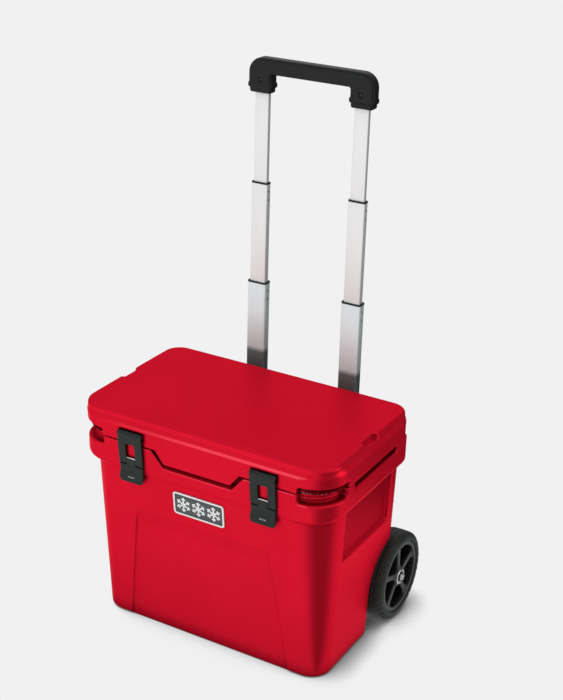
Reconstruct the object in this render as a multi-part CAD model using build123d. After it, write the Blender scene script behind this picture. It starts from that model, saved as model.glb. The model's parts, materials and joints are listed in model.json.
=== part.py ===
from build123d import *
import math
import os

# Wheeled cooler chest with a telescoping handle. Millimetres, +Z up.
# The origin is on the floor under the middle of the lid. The latches face -Y and the handle is at +Y.

# ---------------------------------------------------------------- driving dimensions

# chest body
BODY_TOP = 387.5            # top face of the body's rim
BASE_HALF_WIDTH = 234.5
TOP_HALF_WIDTH = 251.0
BASE_FRONT = -117.0
TOP_FRONT = -158.0
BASE_REAR = 155.0
TOP_REAR = 157.0
BASE_CORNERS = (40.0, 28.0)  # radii of the front and of the rear corners
TOP_CORNERS = (83.0, 46.0)
BASE_EDGE = 7.0             # rounding between the walls and the underside
SHELL_WALL = 7.0
FOAM_TOP = 350.0            # the rim above this height is solid plastic
RIM_START = 331.0           # the rim band grows out of the wall here
RIM_HALF_WIDTH = 258.5
RIM_PROUD = 0.8             # how far the band stands in front of the front wall
RIM_REAR = 158.5
RIM_CORNERS = (62.0, 31.0)
RIM_EDGE = 14.0             # rounding of the band's lower edge
BEAM_Y = (130.0, 167.0)     # the beam across the rear that holds the axle
BEAM_HALF_HEIGHT = 22.0
BEAM_EDGE = 10.0

# lid
LID_HALF_WIDTH = 261.0
LID_FRONT = -159.0
LID_REAR = 161.0
LID_CORNERS = (63.0, 50.0)
LID_BOTTOM = 389.0
SKIRT_TOP = 428.0
SKIRT_SLOPE = 6.5           # the skirt's top slopes down and out by this much
SLAB_BOTTOM = 431.0
LID_TOP = 440.0
SLAB_INSET = 6.0
SLAB_CORNERS = (45.0, 34.0)
SLAB_EDGE = 7.5
NECK_INSET = 8.0            # the neck between the skirt and the slab
LID_WALL = 10.0
LID_ROOF = 6.0
LID_RELIEF = (4.5, 10.0)    # the lid's rear is cut back this far behind and above the hinge axis
LID_NOTCH_Y = (-25.0, 22.0)
LID_NOTCH_DEPTH = 10.0

# inner tub and plug
TUB_FLOOR = 48.0
TUB_WALL = 3.0
TUB_BASE = (179.0, -81.0, 109.0)      # outer half width, front and rear at the floor
TUB_MOUTH = (212.0, -122.0, 118.0)    # the same at the mouth
TUB_CORNER = 34.0
FLANGE = 10.0                         # width of the tub's flange
PLUG_BOTTOM = 366.0
PLUG_GAP = 5.0
GAP = 0.3                             # gap between parts that only rest against each other
RUNNING = 0.05                        # radial clearance of a shaft that turns in a hole

# features of the body
NOTCH_TOP_HALF = 90.0
NOTCH_BOTTOM_HALF = 64.0
NOTCH_BOTTOM = 357.0
NOTCH_BACK = -144.5
LIP_TOP_HALF = 86.0
LIP_BOTTOM_HALF = 68.0
LIP_BOTTOM = 366.0
LIP_BACK = -149.0
POCKET_START = 197.0        # the corner pockets start this far from the middle
POCKET_END = -90.0          # and run along the side to here
POCKET_FLOOR = 371.0
POCKET_DEPTH = 16.0
RIDGE_HEIGHTS = (375.5, 382.0)
RIDGE_SIZE = 3.0
LID_POCKET_TOP = 400.0      # the pockets reach up into the lid's skirt
LID_POCKET_DEPTH = 7.0
SLOT_Y = (-65.0, 95.0)
SLOT_FLOOR = 375.0
SLOT_DEPTH = 15.0
HOLD_Y = (-70.0, 103.0)
HOLD_Z = (229.0, 334.0)
HOLD_FLOOR = 238.5          # distance of the hand hold's flat back wall from the middle
PANEL_TOP = 250.0
PANEL_TOP_HALF = 137.0
PANEL_BOTTOM_HALF = 170.0
PANEL_DEPTH = 3.6

# badge
BADGE_SIZE = (104.0, 45.0)
BADGE_Z = 294.5
BADGE_BORDER = 3.0
BADGE_THICK = 2.2

# latches
LATCH_X = 135.0
LATCH_HALF = 25.5
LATCH_AXIS = (-161.2, 407.0)
LATCH_FRONT = -6.1          # the rest of the latch is measured from its own axis
LATCH_BACK = -1.0
LATCH_TOP = 6.0
LATCH_SKIN = 2.3
WINDOW_HALF = 9.3
WINDOW_TOP = -18.0
FRAME_BOTTOM = -59.0
KNUCKLE_HALF = 15.5
KNUCKLE_RADIUS = 4.8
EAR_SPAN = (16.2, 24.5)
EAR_RADIUS = 3.5
LATCH_PIN_RADIUS = 1.8
LATCH_CLEARANCE = 8.8
LEVER_AXIS = (-3.6, -47.0)
LEVER_PIN_RADIUS = 1.6
SHOULDER = -61.0
LEVER_BOTTOM = -94.0
LEVER_FLARE = -10.5
LEVER_HALF = 25.0
LEVER_CORNER = 3.0
KEEPER_HALF = 8.2
KEEPER_Z = (362.5, 386.5)
KEEPER_PROUD = 0.9

# lid hinge
HINGE_X = 150.0
HINGE_AXIS = (149.0, 393.0)
HINGE_HALF = 30.0
HINGE_PIN_RADIUS = 3.0
HINGE_KNUCKLE = 6.3
HINGE_MIDDLE = 14.0         # half width of the lid's knuckle
HINGE_GROOVE = 7.5          # radius of the groove that the lid's rear edge turns in
LEAF_Y = (151.5, 156.4)
BODY_LEAF_Z = (352.0, 383.5)
LID_LEAF_Z = (403.5, 427.0)
LEAF_GAP = 0.6
LEAF_SCREW = (1.5, 3.5, 9.0, 19.0)    # shank radius, head radius, depth and distance from the leaf's middle

# wheels
WHEEL_RADIUS = 86.0
WHEEL_Y = 150.0
WHEEL_Z = 86.0
WHEEL_INNER = 212.0
WHEEL_OUTER = 260.0
SHOULDER_WIDTH = 9.0
TREAD_CROWN = 1.0
HUB_RADIUS = 70.0
HUB_RIM = 8.0
HUB_BORE = 9.0
HUB_WEB = (14.0, 22.0)      # the web between the spokes, from the rim's inner edge
BOSS_RADIUS = 17.0
BOSS_START = 209.0
SPOKE_COUNT = 5
SPOKE_WIDTH = 13.0
AXLE_RADIUS = 6.0
AXLE_END = 264.0
ARCH_RADIUS = 90.5
ARCH_WALL = 205.0
WASHER_RADIUS = 15.0
SPACER_RADIUS = 12.0
CIRCLIP_RADIUS = 9.5

# telescoping handle
TUBE_X = 100.0
TUBE_Y = 209.5
OUTER_TUBE = (43.0, 24.0, 1.8)        # width, depth and wall of each tube
STAGE_1 = (39.0, 20.0, 1.5)
STAGE_2 = (33.0, 14.4, 1.3)
STAGE_3 = (28.0, 9.4, 1.2)
OUTER_TUBE_Z = (22.0, 362.0)
STAGE_1_Z = (247.0, 583.7)
STAGE_2_Z = (445.5, 777.5)
STAGE_3_Z = (636.0, 970.0)
COLLAR_THICK = 3.0
COLLAR_SLEEVE = 14.0
RIVET_RADIUS = 2.0
RIVET_DROPS = (14.0, 30.0)
GRIP_BOTTOM = 946.0
GRIP_TOP = 1009.5
GRIP_HALF = 127.0
GRIP_DEPTH = 25.0
GRIP_BAR = 28.5
GRIP_LEG = 49.0
GRIP_CORNER = 27.0
GRIP_EDGE = 5.0
GRIP_ARCH = 8.0             # the corners under the bar
CUFF_HEIGHT = 10.0
BEAD_RISE = 9.0
BEAD_HEIGHT = 10.0
GRIP_SCREW_RISE = 24.0

# handle brackets
UPPER_BRACKET_Z = (286.0, 326.0)
LOWER_BRACKET_Z = (61.0, 111.0)
BRACKET_HALF = 128.0
BRACKET_PLATE = 8.0
BRACKET_GAP = 0.4
ARM_HALF = 22.0
ARM_STEP = 4.0              # the upper arms are this much lower than their plate at each edge
SOCKET_WALL = (7.0, 6.0)
SOCKET_FLOOR = 14.0
SCREW_X = 40.0
UPPER_SCREW_Z = (294.0, 318.0)
LOWER_SCREW_Z = (74.0, 98.0)
UPPER_SCREW_REACH = 13.5
LOWER_SCREW_REACH = 24.0
SCREW_RADIUS = 2.5
SCREW_HEAD = (5.0, 3.0)     # radius and height


# ---------------------------------------------------------------- helpers

def section(z, half_width, y_front, y_rear, front_radius, rear_radius):
    """A rectangle at height z, symmetric about the middle, rounded at its front and rear corners."""
    near, far = half_width - front_radius, half_width - rear_radius
    front, rear = y_front + front_radius, y_rear - rear_radius
    outline = (
        Line((-near, y_front), (near, y_front))
        + CenterArc((near, front), front_radius, 270, 90)
        + Line((half_width, front), (half_width, rear))
        + CenterArc((far, rear), rear_radius, 0, 90)
        + Line((far, y_rear), (-far, y_rear))
        + CenterArc((-far, rear), rear_radius, 90, 90)
        + Line((-half_width, rear), (-half_width, front))
        + CenterArc((-near, front), front_radius, 180, 90)
    )
    return Pos(0, 0, z) * make_face(outline)


def tapered(*sections):
    """A solid through rounded rectangles, from the lowest to the highest."""
    return loft([section(*values) for values in sections], ruled=True)


def upright(z_low, z_high, half_width, y_front, y_rear, front_radius, rear_radius):
    """A rounded block with vertical walls."""
    face = section(z_low, half_width, y_front, y_rear, front_radius, rear_radius)
    return extrude(face, z_high - z_low)


def block(x, y, z):
    """A box between two x, two y and two z values."""
    return Pos((x[0] + x[1]) / 2, (y[0] + y[1]) / 2, (z[0] + z[1]) / 2) * Box(
        x[1] - x[0], y[1] - y[0], z[1] - z[0])


def rod_x(x, y, z, radius):
    """A round bar along X, from x[0] to x[1]."""
    return Pos((x[0] + x[1]) / 2, y, z) * Rot(0, 90, 0) * Cylinder(radius, x[1] - x[0])


def rod_y(x, y, z, radius):
    """A round bar along Y, from y[0] to y[1]."""
    return Pos(x, (y[0] + y[1]) / 2, z) * Rot(90, 0, 0) * Cylinder(radius, y[1] - y[0])


def front_plate(points, y):
    """A flat shape drawn in X and Z, from y[0] to y[1]."""
    face = make_face(Polyline(*[(px, 0, pz) for px, pz in points], close=True))
    return Pos(0, y[1], 0) * extrude(face, y[1] - y[0], dir=(0, -1, 0))


def side_plate(points, x):
    """A flat shape drawn in Y and Z, from x[0] to x[1]."""
    face = make_face(Polyline(*[(0, py, pz) for py, pz in points], close=True))
    return Pos(x[0], 0, 0) * extrude(face, x[1] - x[0], dir=(1, 0, 0))


def span(side, near, far):
    """The x range from near to far on one side of the middle."""
    return (near, far) if side > 0 else (-far, -near)


def outward(edges, height, tolerance=0.2):
    """The edges that lie flat at one height."""
    return edges.filter_by(lambda e: abs(e.bounding_box().min.Z - height) < tolerance
                           and abs(e.bounding_box().max.Z - height) < tolerance)


def write(node, shape):
    """Writes one sub-part to its own STEP file."""
    solids = shape.solids()
    export_step(solids[0] if len(solids) == 1 else Compound(solids), f"parts/{node}.step")


# ---------------------------------------------------------------- chest body

def at_height(z, base, top):
    """A wall's distance at height z, between its base and its top values."""
    return base + (top - base) * z / BODY_TOP


def body_outline(z, inset=0.0):
    """The body's outer section at height z, drawn in by an inset."""
    return (
        z,
        at_height(z, BASE_HALF_WIDTH, TOP_HALF_WIDTH) - inset,
        at_height(z, BASE_FRONT, TOP_FRONT) + inset,
        at_height(z, BASE_REAR, TOP_REAR) - inset,
        at_height(z, BASE_CORNERS[0], TOP_CORNERS[0]) - inset,
        at_height(z, BASE_CORNERS[1], TOP_CORNERS[1]) - inset,
    )


def rim_band():
    """The thick band round the top of the body, rounded below, and cut to the slope of the front wall."""
    band = upright(RIM_START, BODY_TOP, RIM_HALF_WIDTH, TOP_FRONT - RIM_PROUD, RIM_REAR, *RIM_CORNERS)
    band = fillet(outward(band.edges(), RIM_START), RIM_EDGE)
    slope = side_plate([
        (at_height(RIM_START, BASE_FRONT, TOP_FRONT) - RIM_PROUD, RIM_START),
        (TOP_FRONT - RIM_PROUD, BODY_TOP),
        (RIM_REAR + 5, BODY_TOP),
        (RIM_REAR + 5, RIM_START),
    ], (-LID_HALF_WIDTH, LID_HALF_WIDTH))
    return band & slope


def tub(grow=0.0, z_high=BODY_TOP):
    """The outside of the inner tub, without its flange."""
    def at(z):
        share = (z - TUB_FLOOR) / (BODY_TOP - TUB_FLOOR)
        half, front, rear = [a + (b - a) * share for a, b in zip(TUB_BASE, TUB_MOUTH)]
        return (z, half + grow, front - grow, rear + grow, TUB_CORNER + grow, TUB_CORNER + grow)
    return tapered(at(TUB_FLOOR - grow), at(z_high))


def flange(grow=0.0):
    """The tub's flange, which lies in a rebate in the rim."""
    half, front, rear = TUB_MOUTH
    wide = FLANGE + grow
    return upright(BODY_TOP - TUB_WALL - grow, BODY_TOP, half + wide, front - wide, rear + wide,
                   TUB_CORNER + wide, TUB_CORNER + wide)


def wheel_arches(grow=0.0):
    """The two spaces that the wheels sit in."""
    radius = ARCH_RADIUS + grow
    spaces = []
    for side in (-1, 1):
        x = span(side, ARCH_WALL - grow, LID_HALF_WIDTH + 20)
        spaces.append(rod_x(x, WHEEL_Y, WHEEL_Z, radius))
        spaces.append(block(x, (WHEEL_Y - radius, WHEEL_Y + radius), (-20, WHEEL_Z)))
    return spaces


def foam_space(gap=0.0):
    """The hollow between the outer shell and the tub, left for the insulation."""
    inset = SHELL_WALL - gap
    space = tapered(body_outline(inset, inset), body_outline(FOAM_TOP + gap, inset))
    hold = [
        block(span(side, HOLD_FLOOR - SHELL_WALL + gap, LID_HALF_WIDTH),
              (HOLD_Y[0] - SHELL_WALL + gap, HOLD_Y[1] + SHELL_WALL - gap),
              (HOLD_Z[0] - SHELL_WALL + gap, BODY_TOP))
        for side in (-1, 1)
    ]
    tunnel = block((-LID_HALF_WIDTH, LID_HALF_WIDTH), (BEAM_Y[0] + 3 + gap, BEAM_Y[1] + LID_REAR),
                   (WHEEL_Z - BEAM_HALF_HEIGHT + 2 + gap, WHEEL_Z + BEAM_HALF_HEIGHT - 2 - gap))
    return space - wheel_arches(SHELL_WALL - gap - 1.5) - hold - tunnel


def corner_pockets():
    """The two open pockets under the lid's front corners, with their ridges left standing."""
    def ring(inset, z_low, z_high):
        corners = [radius - min(inset, radius - 5) for radius in RIM_CORNERS]
        return upright(z_low, z_high, RIM_HALF_WIDTH - inset, TOP_FRONT + inset, RIM_REAR, *corners)

    above = BODY_TOP + 5
    ridges = [ring(POCKET_DEPTH - RIDGE_SIZE, height, height + RIDGE_SIZE) for height in RIDGE_HEIGHTS]
    open_space = ring(-10, POCKET_FLOOR, above) - ring(POCKET_DEPTH, POCKET_FLOOR, above) - ridges
    return [
        open_space & block(span(side, POCKET_START, RIM_HALF_WIDTH + 20), (TOP_FRONT - 20, POCKET_END),
                           (POCKET_FLOOR, above))
        for side in (-1, 1)
    ]


def lid_pockets():
    """The shallow steps in the lid's skirt over the two corner pockets."""
    def ring(inset):
        corners = [radius - inset for radius in LID_CORNERS]
        return upright(LID_BOTTOM - 1, LID_POCKET_TOP, LID_HALF_WIDTH - inset, LID_FRONT + inset,
                       LID_REAR, *corners)

    open_space = ring(-10) - ring(LID_POCKET_DEPTH)
    return [
        open_space & block(span(side, POCKET_START, LID_HALF_WIDTH + 20), (LID_FRONT - 20, POCKET_END),
                           (LID_BOTTOM - 1, LID_POCKET_TOP))
        for side in (-1, 1)
    ]


def front_panel():
    """The shallow wedge cut into the lower front wall: nothing deep at its top, deepest at the floor."""
    outline = [(-PANEL_TOP_HALF, PANEL_TOP), (-PANEL_BOTTOM_HALF, -1), (PANEL_BOTTOM_HALF, -1),
               (PANEL_TOP_HALF, PANEL_TOP)]
    reach = front_plate(outline, (TOP_FRONT - 20, 0))
    wedge = side_plate([
        (at_height(PANEL_TOP, BASE_FRONT, TOP_FRONT), PANEL_TOP),
        (TOP_FRONT - 20, PANEL_TOP),
        (TOP_FRONT - 20, -1),
        (BASE_FRONT + PANEL_DEPTH, -1),
    ], (-PANEL_BOTTOM_HALF, PANEL_BOTTOM_HALF))
    return reach & wedge


def keepers():
    """The raised keepers that show in the latches' windows."""
    proud = RIM_PROUD + KEEPER_PROUD
    low, high = KEEPER_Z
    profile = [(at_height(low, BASE_FRONT, TOP_FRONT) - proud, low),
               (at_height(high, BASE_FRONT, TOP_FRONT) - proud, high), (-150, high), (-150, low)]
    return [side_plate(profile, (x - KEEPER_HALF, x + KEEPER_HALF)) for x in (-LATCH_X, LATCH_X)]


def hinge_recess(z, groove):
    """The pockets for one set of hinge leaves, with room for the knuckles."""
    cuts = []
    for x in (-HINGE_X, HINGE_X):
        wide = (x - HINGE_HALF - 1, x + HINGE_HALF + 1)
        cuts.append(block(wide, (LEAF_Y[0] - LEAF_GAP, LID_REAR + 5), z))
        cuts.append(rod_x(wide, *HINGE_AXIS, groove))
    return cuts


def bracket_screw_points():
    """Where the handle brackets are screwed to the body: x, z pairs on the rear wall and the beam."""
    upper = [(x, z) for x in (-SCREW_X, SCREW_X) for z in UPPER_SCREW_Z]
    lower = [(x, z) for x in (-SCREW_X, SCREW_X) for z in LOWER_SCREW_Z]
    return upper, lower


def body_shell():
    outer = tapered(body_outline(0), body_outline(BODY_TOP))
    outer = fillet(outward(outer.edges(), 0), BASE_EDGE)
    beam = block((-ARCH_WALL, ARCH_WALL), BEAM_Y, (WHEEL_Z - BEAM_HALF_HEIGHT, WHEEL_Z + BEAM_HALF_HEIGHT))
    beam = fillet(beam.edges().filter_by(Axis.X).sort_by(Axis.Y)[-2:], BEAM_EDGE)
    outer = outer + rim_band() + beam + keepers()
    notch = front_plate([(-NOTCH_TOP_HALF - 5, BODY_TOP + 6), (-NOTCH_BOTTOM_HALF, NOTCH_BOTTOM),
                         (NOTCH_BOTTOM_HALF, NOTCH_BOTTOM), (NOTCH_TOP_HALF + 5, BODY_TOP + 6)],
                        (TOP_FRONT - 20, NOTCH_BACK))
    slots = [block(span(side, RIM_HALF_WIDTH - SLOT_DEPTH, RIM_HALF_WIDTH + 9), SLOT_Y,
                   (SLOT_FLOOR, BODY_TOP + 5)) for side in (-1, 1)]
    holds = [block(span(side, HOLD_FLOOR, RIM_HALF_WIDTH + 9), HOLD_Y, HOLD_Z) for side in (-1, 1)]
    outer = outer - notch - slots - holds - corner_pockets() - front_panel() - wheel_arches()
    outer -= [foam_space(GAP), tub(GAP, BODY_TOP + 1), flange(GAP)]
    outer -= rod_x((-AXLE_END, AXLE_END), WHEEL_Y, WHEEL_Z, AXLE_RADIUS + RUNNING)
    outer -= rod_x((-LID_HALF_WIDTH - 5, LID_HALF_WIDTH + 5), *HINGE_AXIS, HINGE_GROOVE)
    outer -= hinge_recess((BODY_LEAF_Z[0] - LEAF_GAP, BODY_TOP + 5), HINGE_GROOVE)
    outer -= screw_shanks(GAP)
    outer -= leaf_screws(BODY_LEAF_Z, GAP)
    return outer


def body_liner():
    inner = tub(-TUB_WALL, BODY_TOP + 1)
    return tub() + flange() - inner


def body_foam():
    return foam_space() - tub(GAP, BODY_TOP)


# ---------------------------------------------------------------- badge

def on_front_wall(shape):
    """Moves a flat shape, drawn around the origin with +Z outward, onto the sloping front wall."""
    lean = math.degrees(math.atan2(BASE_FRONT - TOP_FRONT, BODY_TOP))
    wall = at_height(BADGE_Z, BASE_FRONT, TOP_FRONT)
    return Pos(0, wall, BADGE_Z) * Rot(90 + lean, 0, 0) * shape


def badge_rim():
    width, height = BADGE_SIZE
    ring = RectangleRounded(width, height, 6) - RectangleRounded(
        width - 2 * BADGE_BORDER, height - 2 * BADGE_BORDER, 3.5)
    return on_front_wall(Pos(0, 0, GAP / 3) * extrude(ring, BADGE_THICK))


def badge_plate():
    width, height = BADGE_SIZE
    shrink = 2 * BADGE_BORDER + GAP
    field = RectangleRounded(width - shrink, height - shrink, 3.4)
    return on_front_wall(Pos(0, 0, GAP / 3) * extrude(field, BADGE_THICK - 0.6))


# ---------------------------------------------------------------- lid

def lid_shell():
    skirt = upright(LID_BOTTOM, SKIRT_TOP, LID_HALF_WIDTH, LID_FRONT, LID_REAR, *LID_CORNERS)
    skirt = chamfer(outward(skirt.edges(), SKIRT_TOP), SKIRT_SLOPE)
    edge = LID_HALF_WIDTH - SLAB_INSET
    slab = upright(SLAB_BOTTOM, LID_TOP, edge, LID_FRONT + SLAB_INSET, LID_REAR - SLAB_INSET, *SLAB_CORNERS)
    slab = fillet(outward(slab.edges(), LID_TOP), SLAB_EDGE)
    neck = upright(SKIRT_TOP - 1, SLAB_BOTTOM + 1, LID_HALF_WIDTH - NECK_INSET, LID_FRONT + NECK_INSET,
                   LID_REAR - NECK_INSET, *SLAB_CORNERS)
    lip = front_plate([(-LIP_TOP_HALF, LID_BOTTOM + 1), (-LIP_BOTTOM_HALF, LIP_BOTTOM),
                       (LIP_BOTTOM_HALF, LIP_BOTTOM), (LIP_TOP_HALF, LID_BOTTOM + 1)],
                      (LID_FRONT, LIP_BACK))
    shell = skirt + slab + neck + lip
    shell -= [lid_hollow(GAP)] + lid_pockets()
    shell -= [block(span(side, edge - LID_NOTCH_DEPTH, edge + 20), LID_NOTCH_Y,
                    (SLAB_BOTTOM - 1, LID_TOP + 5)) for side in (-1, 1)]
    for x in (-LATCH_X, LATCH_X):
        shell -= rod_x((x - LATCH_HALF - 1, x + LATCH_HALF + 1), *LATCH_AXIS, LATCH_CLEARANCE)
        shell += latch_ears(x)
    shell -= block((-LID_HALF_WIDTH - 5, LID_HALF_WIDTH + 5), (HINGE_AXIS[0] + LID_RELIEF[0], LID_REAR + 5),
                   (LID_BOTTOM - 1, HINGE_AXIS[1] + LID_RELIEF[1]))
    shell -= hinge_recess((LID_BOTTOM - 1, LID_LEAF_Z[1] + LEAF_GAP), HINGE_GROOVE)
    shell -= leaf_screws(LID_LEAF_Z, GAP)
    return shell


def lid_hollow(gap=0.0):
    """The space inside the lid for its insulation and inner pan."""
    wall = LID_WALL - gap
    rear = HINGE_AXIS[0] - HINGE_GROOVE - 3 + gap
    low = upright(LID_BOTTOM, SKIRT_TOP - LID_ROOF + 1 + gap, LID_HALF_WIDTH - wall, LID_FRONT + wall, rear,
                  *[radius - wall for radius in LID_CORNERS])
    inset = wall + NECK_INSET
    high = upright(SKIRT_TOP - LID_ROOF, LID_TOP - LID_ROOF + gap, LID_HALF_WIDTH - inset,
                   LID_FRONT + inset, rear - LID_ROOF, *[radius - LID_ROOF for radius in SLAB_CORNERS])
    return low + high


def plug(z_high, shrink=0.0):
    """The plug under the lid, which drops into the tub's mouth."""
    half, front, rear = TUB_MOUTH
    small = TUB_WALL + PLUG_GAP + shrink
    corners = (TUB_CORNER - small, TUB_CORNER - small)
    low = (PLUG_BOTTOM + shrink, half - small - 2, front + small + 2, rear - small - 2, *corners)
    high = (z_high, half - small, front + small, rear - small, *corners)
    return tapered(low, high)


def lid_liner():
    wall = LID_WALL
    rear = HINGE_AXIS[0] - HINGE_GROOVE - 3
    pan = upright(LID_BOTTOM, LID_BOTTOM + TUB_WALL, LID_HALF_WIDTH - wall, LID_FRONT + wall, rear,
                  *[radius - wall for radius in LID_CORNERS])
    return pan + plug(LID_BOTTOM + 1) - plug(LID_BOTTOM + TUB_WALL + 1, TUB_WALL)


def lid_foam():
    hollow = lid_hollow() - block((-LID_HALF_WIDTH, LID_HALF_WIDTH), (LID_FRONT, LID_REAR),
                                  (LID_BOTTOM - 5, LID_BOTTOM + TUB_WALL + GAP))
    return hollow + plug(LID_BOTTOM + TUB_WALL + 1, TUB_WALL + GAP)


def lid_gasket():
    half, front, rear = TUB_MOUTH
    low, high = BODY_TOP + GAP, LID_BOTTOM - 0.1
    rings = []
    for grow in (6, -2):
        corner = TUB_CORNER + grow
        rings.append(upright(low, high, half + grow, front - grow, rear + grow, corner, corner))
    return rings[0] - rings[1]


# ---------------------------------------------------------------- lid hinge

def leaf_screws(z, grow=0.0):
    """Two screws for each of two hinge leaves: heads at the back, shanks into the wall."""
    shank_radius, head_radius, depth, step = LEAF_SCREW
    middle = (z[0] + z[1]) / 2
    screws = []
    for hinge in (-HINGE_X, HINGE_X):
        for x in (hinge - step, hinge + step):
            shank = rod_y(x, (LEAF_Y[0] - depth - grow, LEAF_Y[1]), middle, shank_radius + grow / 2)
            head = rod_y(x, (LEAF_Y[1] - shank_radius, LEAF_Y[1]), middle, head_radius + grow / 2)
            screws.append(shank + head)
    return screws


def hinge_leaves_body():
    leaves = []
    for x in (-HINGE_X, HINGE_X):
        leaf = block((x - HINGE_HALF, x + HINGE_HALF), LEAF_Y, BODY_LEAF_Z)
        for end in (span(-1, HINGE_MIDDLE + 1, HINGE_HALF), span(1, HINGE_MIDDLE + 1, HINGE_HALF)):
            wide = (x + end[0], x + end[1])
            leaf += block(wide, LEAF_Y, (BODY_LEAF_Z[0], HINGE_AXIS[1]))
            leaf += rod_x(wide, *HINGE_AXIS, HINGE_KNUCKLE)
        leaf -= rod_x((x - HINGE_HALF, x + HINGE_HALF), *HINGE_AXIS, HINGE_PIN_RADIUS + RUNNING)
        leaves.append(leaf)
    return Compound(leaves) - leaf_screws(BODY_LEAF_Z, GAP)


def hinge_leaves_lid():
    leaves = []
    for x in (-HINGE_X, HINGE_X):
        middle = (x - HINGE_MIDDLE, x + HINGE_MIDDLE)
        leaf = block((x - HINGE_HALF, x + HINGE_HALF), LEAF_Y, LID_LEAF_Z)
        leaf += block(middle, LEAF_Y, (HINGE_AXIS[1], LID_LEAF_Z[1]))
        leaf += rod_x(middle, *HINGE_AXIS, HINGE_KNUCKLE)
        leaf -= rod_x(middle, *HINGE_AXIS, HINGE_PIN_RADIUS + RUNNING)
        leaves.append(leaf)
    return Compound(leaves) - leaf_screws(LID_LEAF_Z, GAP)


def hinge_pins():
    return Compound([rod_x((x - HINGE_HALF, x + HINGE_HALF), *HINGE_AXIS, HINGE_PIN_RADIUS)
                     for x in (-HINGE_X, HINGE_X)])


# ---------------------------------------------------------------- latches

def hang(shape, x):
    """Hangs a latch part, drawn around its own hinge axis, parallel to the sloping front wall."""
    lean = math.degrees(math.atan2(BASE_FRONT - TOP_FRONT, BODY_TOP))
    return Pos(x, *LATCH_AXIS) * Rot(lean, 0, 0) * shape


def latch_ears(x):
    """The lid's two ears that hold one latch's hinge pin."""
    y, z = LATCH_AXIS
    ears = []
    for side in (-1, 1):
        near, far = span(side, *EAR_SPAN)
        wide = (x + near, x + far)
        ear = block(wide, (y, LID_FRONT + 9), (z - EAR_RADIUS, z + EAR_RADIUS))
        ear += rod_x(wide, y, z, EAR_RADIUS)
        ears.append(ear - rod_x(wide, y, z, LATCH_PIN_RADIUS + RUNNING))
    return ears


def latch_frame(x):
    wide = (-LATCH_HALF, LATCH_HALF)
    clear = EAR_RADIUS + 1.2
    frame = block(wide, (LATCH_FRONT, LATCH_BACK), (FRAME_BOTTOM, -clear))
    frame += block(wide, (LATCH_FRONT, LATCH_FRONT + LATCH_SKIN), (-clear - 1, LATCH_TOP))
    frame = fillet(frame.edges().filter_by(Axis.Y).group_by(Axis.Z)[-1], 2)
    frame -= block((-WINDOW_HALF, WINDOW_HALF), (LATCH_FRONT - 1, LATCH_BACK + 1),
                   (FRAME_BOTTOM - 1, WINDOW_TOP))
    middle = (-KNUCKLE_HALF, KNUCKLE_HALF)
    frame += rod_x(middle, 0, 0, KNUCKLE_RADIUS)
    frame += block(middle, (LATCH_FRONT, 0), (-KNUCKLE_RADIUS, 0))
    frame += block(middle, (LATCH_FRONT, -KNUCKLE_RADIUS / 2), (0, KNUCKLE_RADIUS / 2))
    frame -= rod_x(middle, 0, 0, LATCH_PIN_RADIUS + RUNNING)
    frame -= rod_x((-LATCH_HALF + 2, LATCH_HALF - 2), *LEVER_AXIS, LEVER_PIN_RADIUS + RUNNING)
    return hang(frame, x)


def latch_lever(x):
    y_pin, z_pin = LEVER_AXIS
    tongue = block((-WINDOW_HALF + 0.3, WINDOW_HALF - 0.3), (LATCH_FRONT, LATCH_BACK - 0.2),
                   (SHOULDER - 5, z_pin + 0.5))
    profile = [(LATCH_FRONT, SHOULDER), (LATCH_FRONT - 0.4, SHOULDER - 13),
               (LEVER_FLARE, LEVER_BOTTOM + 2), (LEVER_FLARE + 1, LEVER_BOTTOM),
               (LEVER_FLARE + 3.4, LEVER_BOTTOM), (LATCH_BACK - 1.2, SHOULDER - 17),
               (LATCH_BACK - 0.2, SHOULDER)]
    lever = side_plate(profile, (-LEVER_HALF, LEVER_HALF))
    corners = lever.edges().filter_by(lambda e: e.bounding_box().size.X < 0.01).group_by(Axis.Z)[0]
    lever = chamfer(corners, LEVER_CORNER)
    lever += tongue
    lever -= rod_x((-WINDOW_HALF, WINDOW_HALF), y_pin, z_pin, LEVER_PIN_RADIUS + RUNNING)
    return hang(lever, x)


def latch_lever_pin(x):
    return hang(rod_x((-LATCH_HALF + 2.2, LATCH_HALF - 2.2), *LEVER_AXIS, LEVER_PIN_RADIUS), x)


def latch_hinge_pins():
    far = EAR_SPAN[1]
    return Compound([rod_x((x - far, x + far), *LATCH_AXIS, LATCH_PIN_RADIUS) for x in (-LATCH_X, LATCH_X)])


# ---------------------------------------------------------------- wheels

def around_axle(outline, side):
    """Turns an outline, drawn as radius and distance from the middle, about the axle."""
    points = [(side * x, 0, radius) for x, radius in outline]
    ring = revolve(make_face(Polyline(*points, close=True)), Axis.X)
    return Pos(0, WHEEL_Y, WHEEL_Z) * ring


def tyre(side):
    near, far = WHEEL_INNER, WHEEL_OUTER
    edge = WHEEL_RADIUS - TREAD_CROWN
    return around_axle([
        (near, HUB_RADIUS), (near, WHEEL_RADIUS - SHOULDER_WIDTH), (near + SHOULDER_WIDTH, edge),
        ((near + far) / 2, WHEEL_RADIUS), (far - SHOULDER_WIDTH, edge),
        (far, WHEEL_RADIUS - SHOULDER_WIDTH), (far, HUB_RADIUS)], side)


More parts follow.
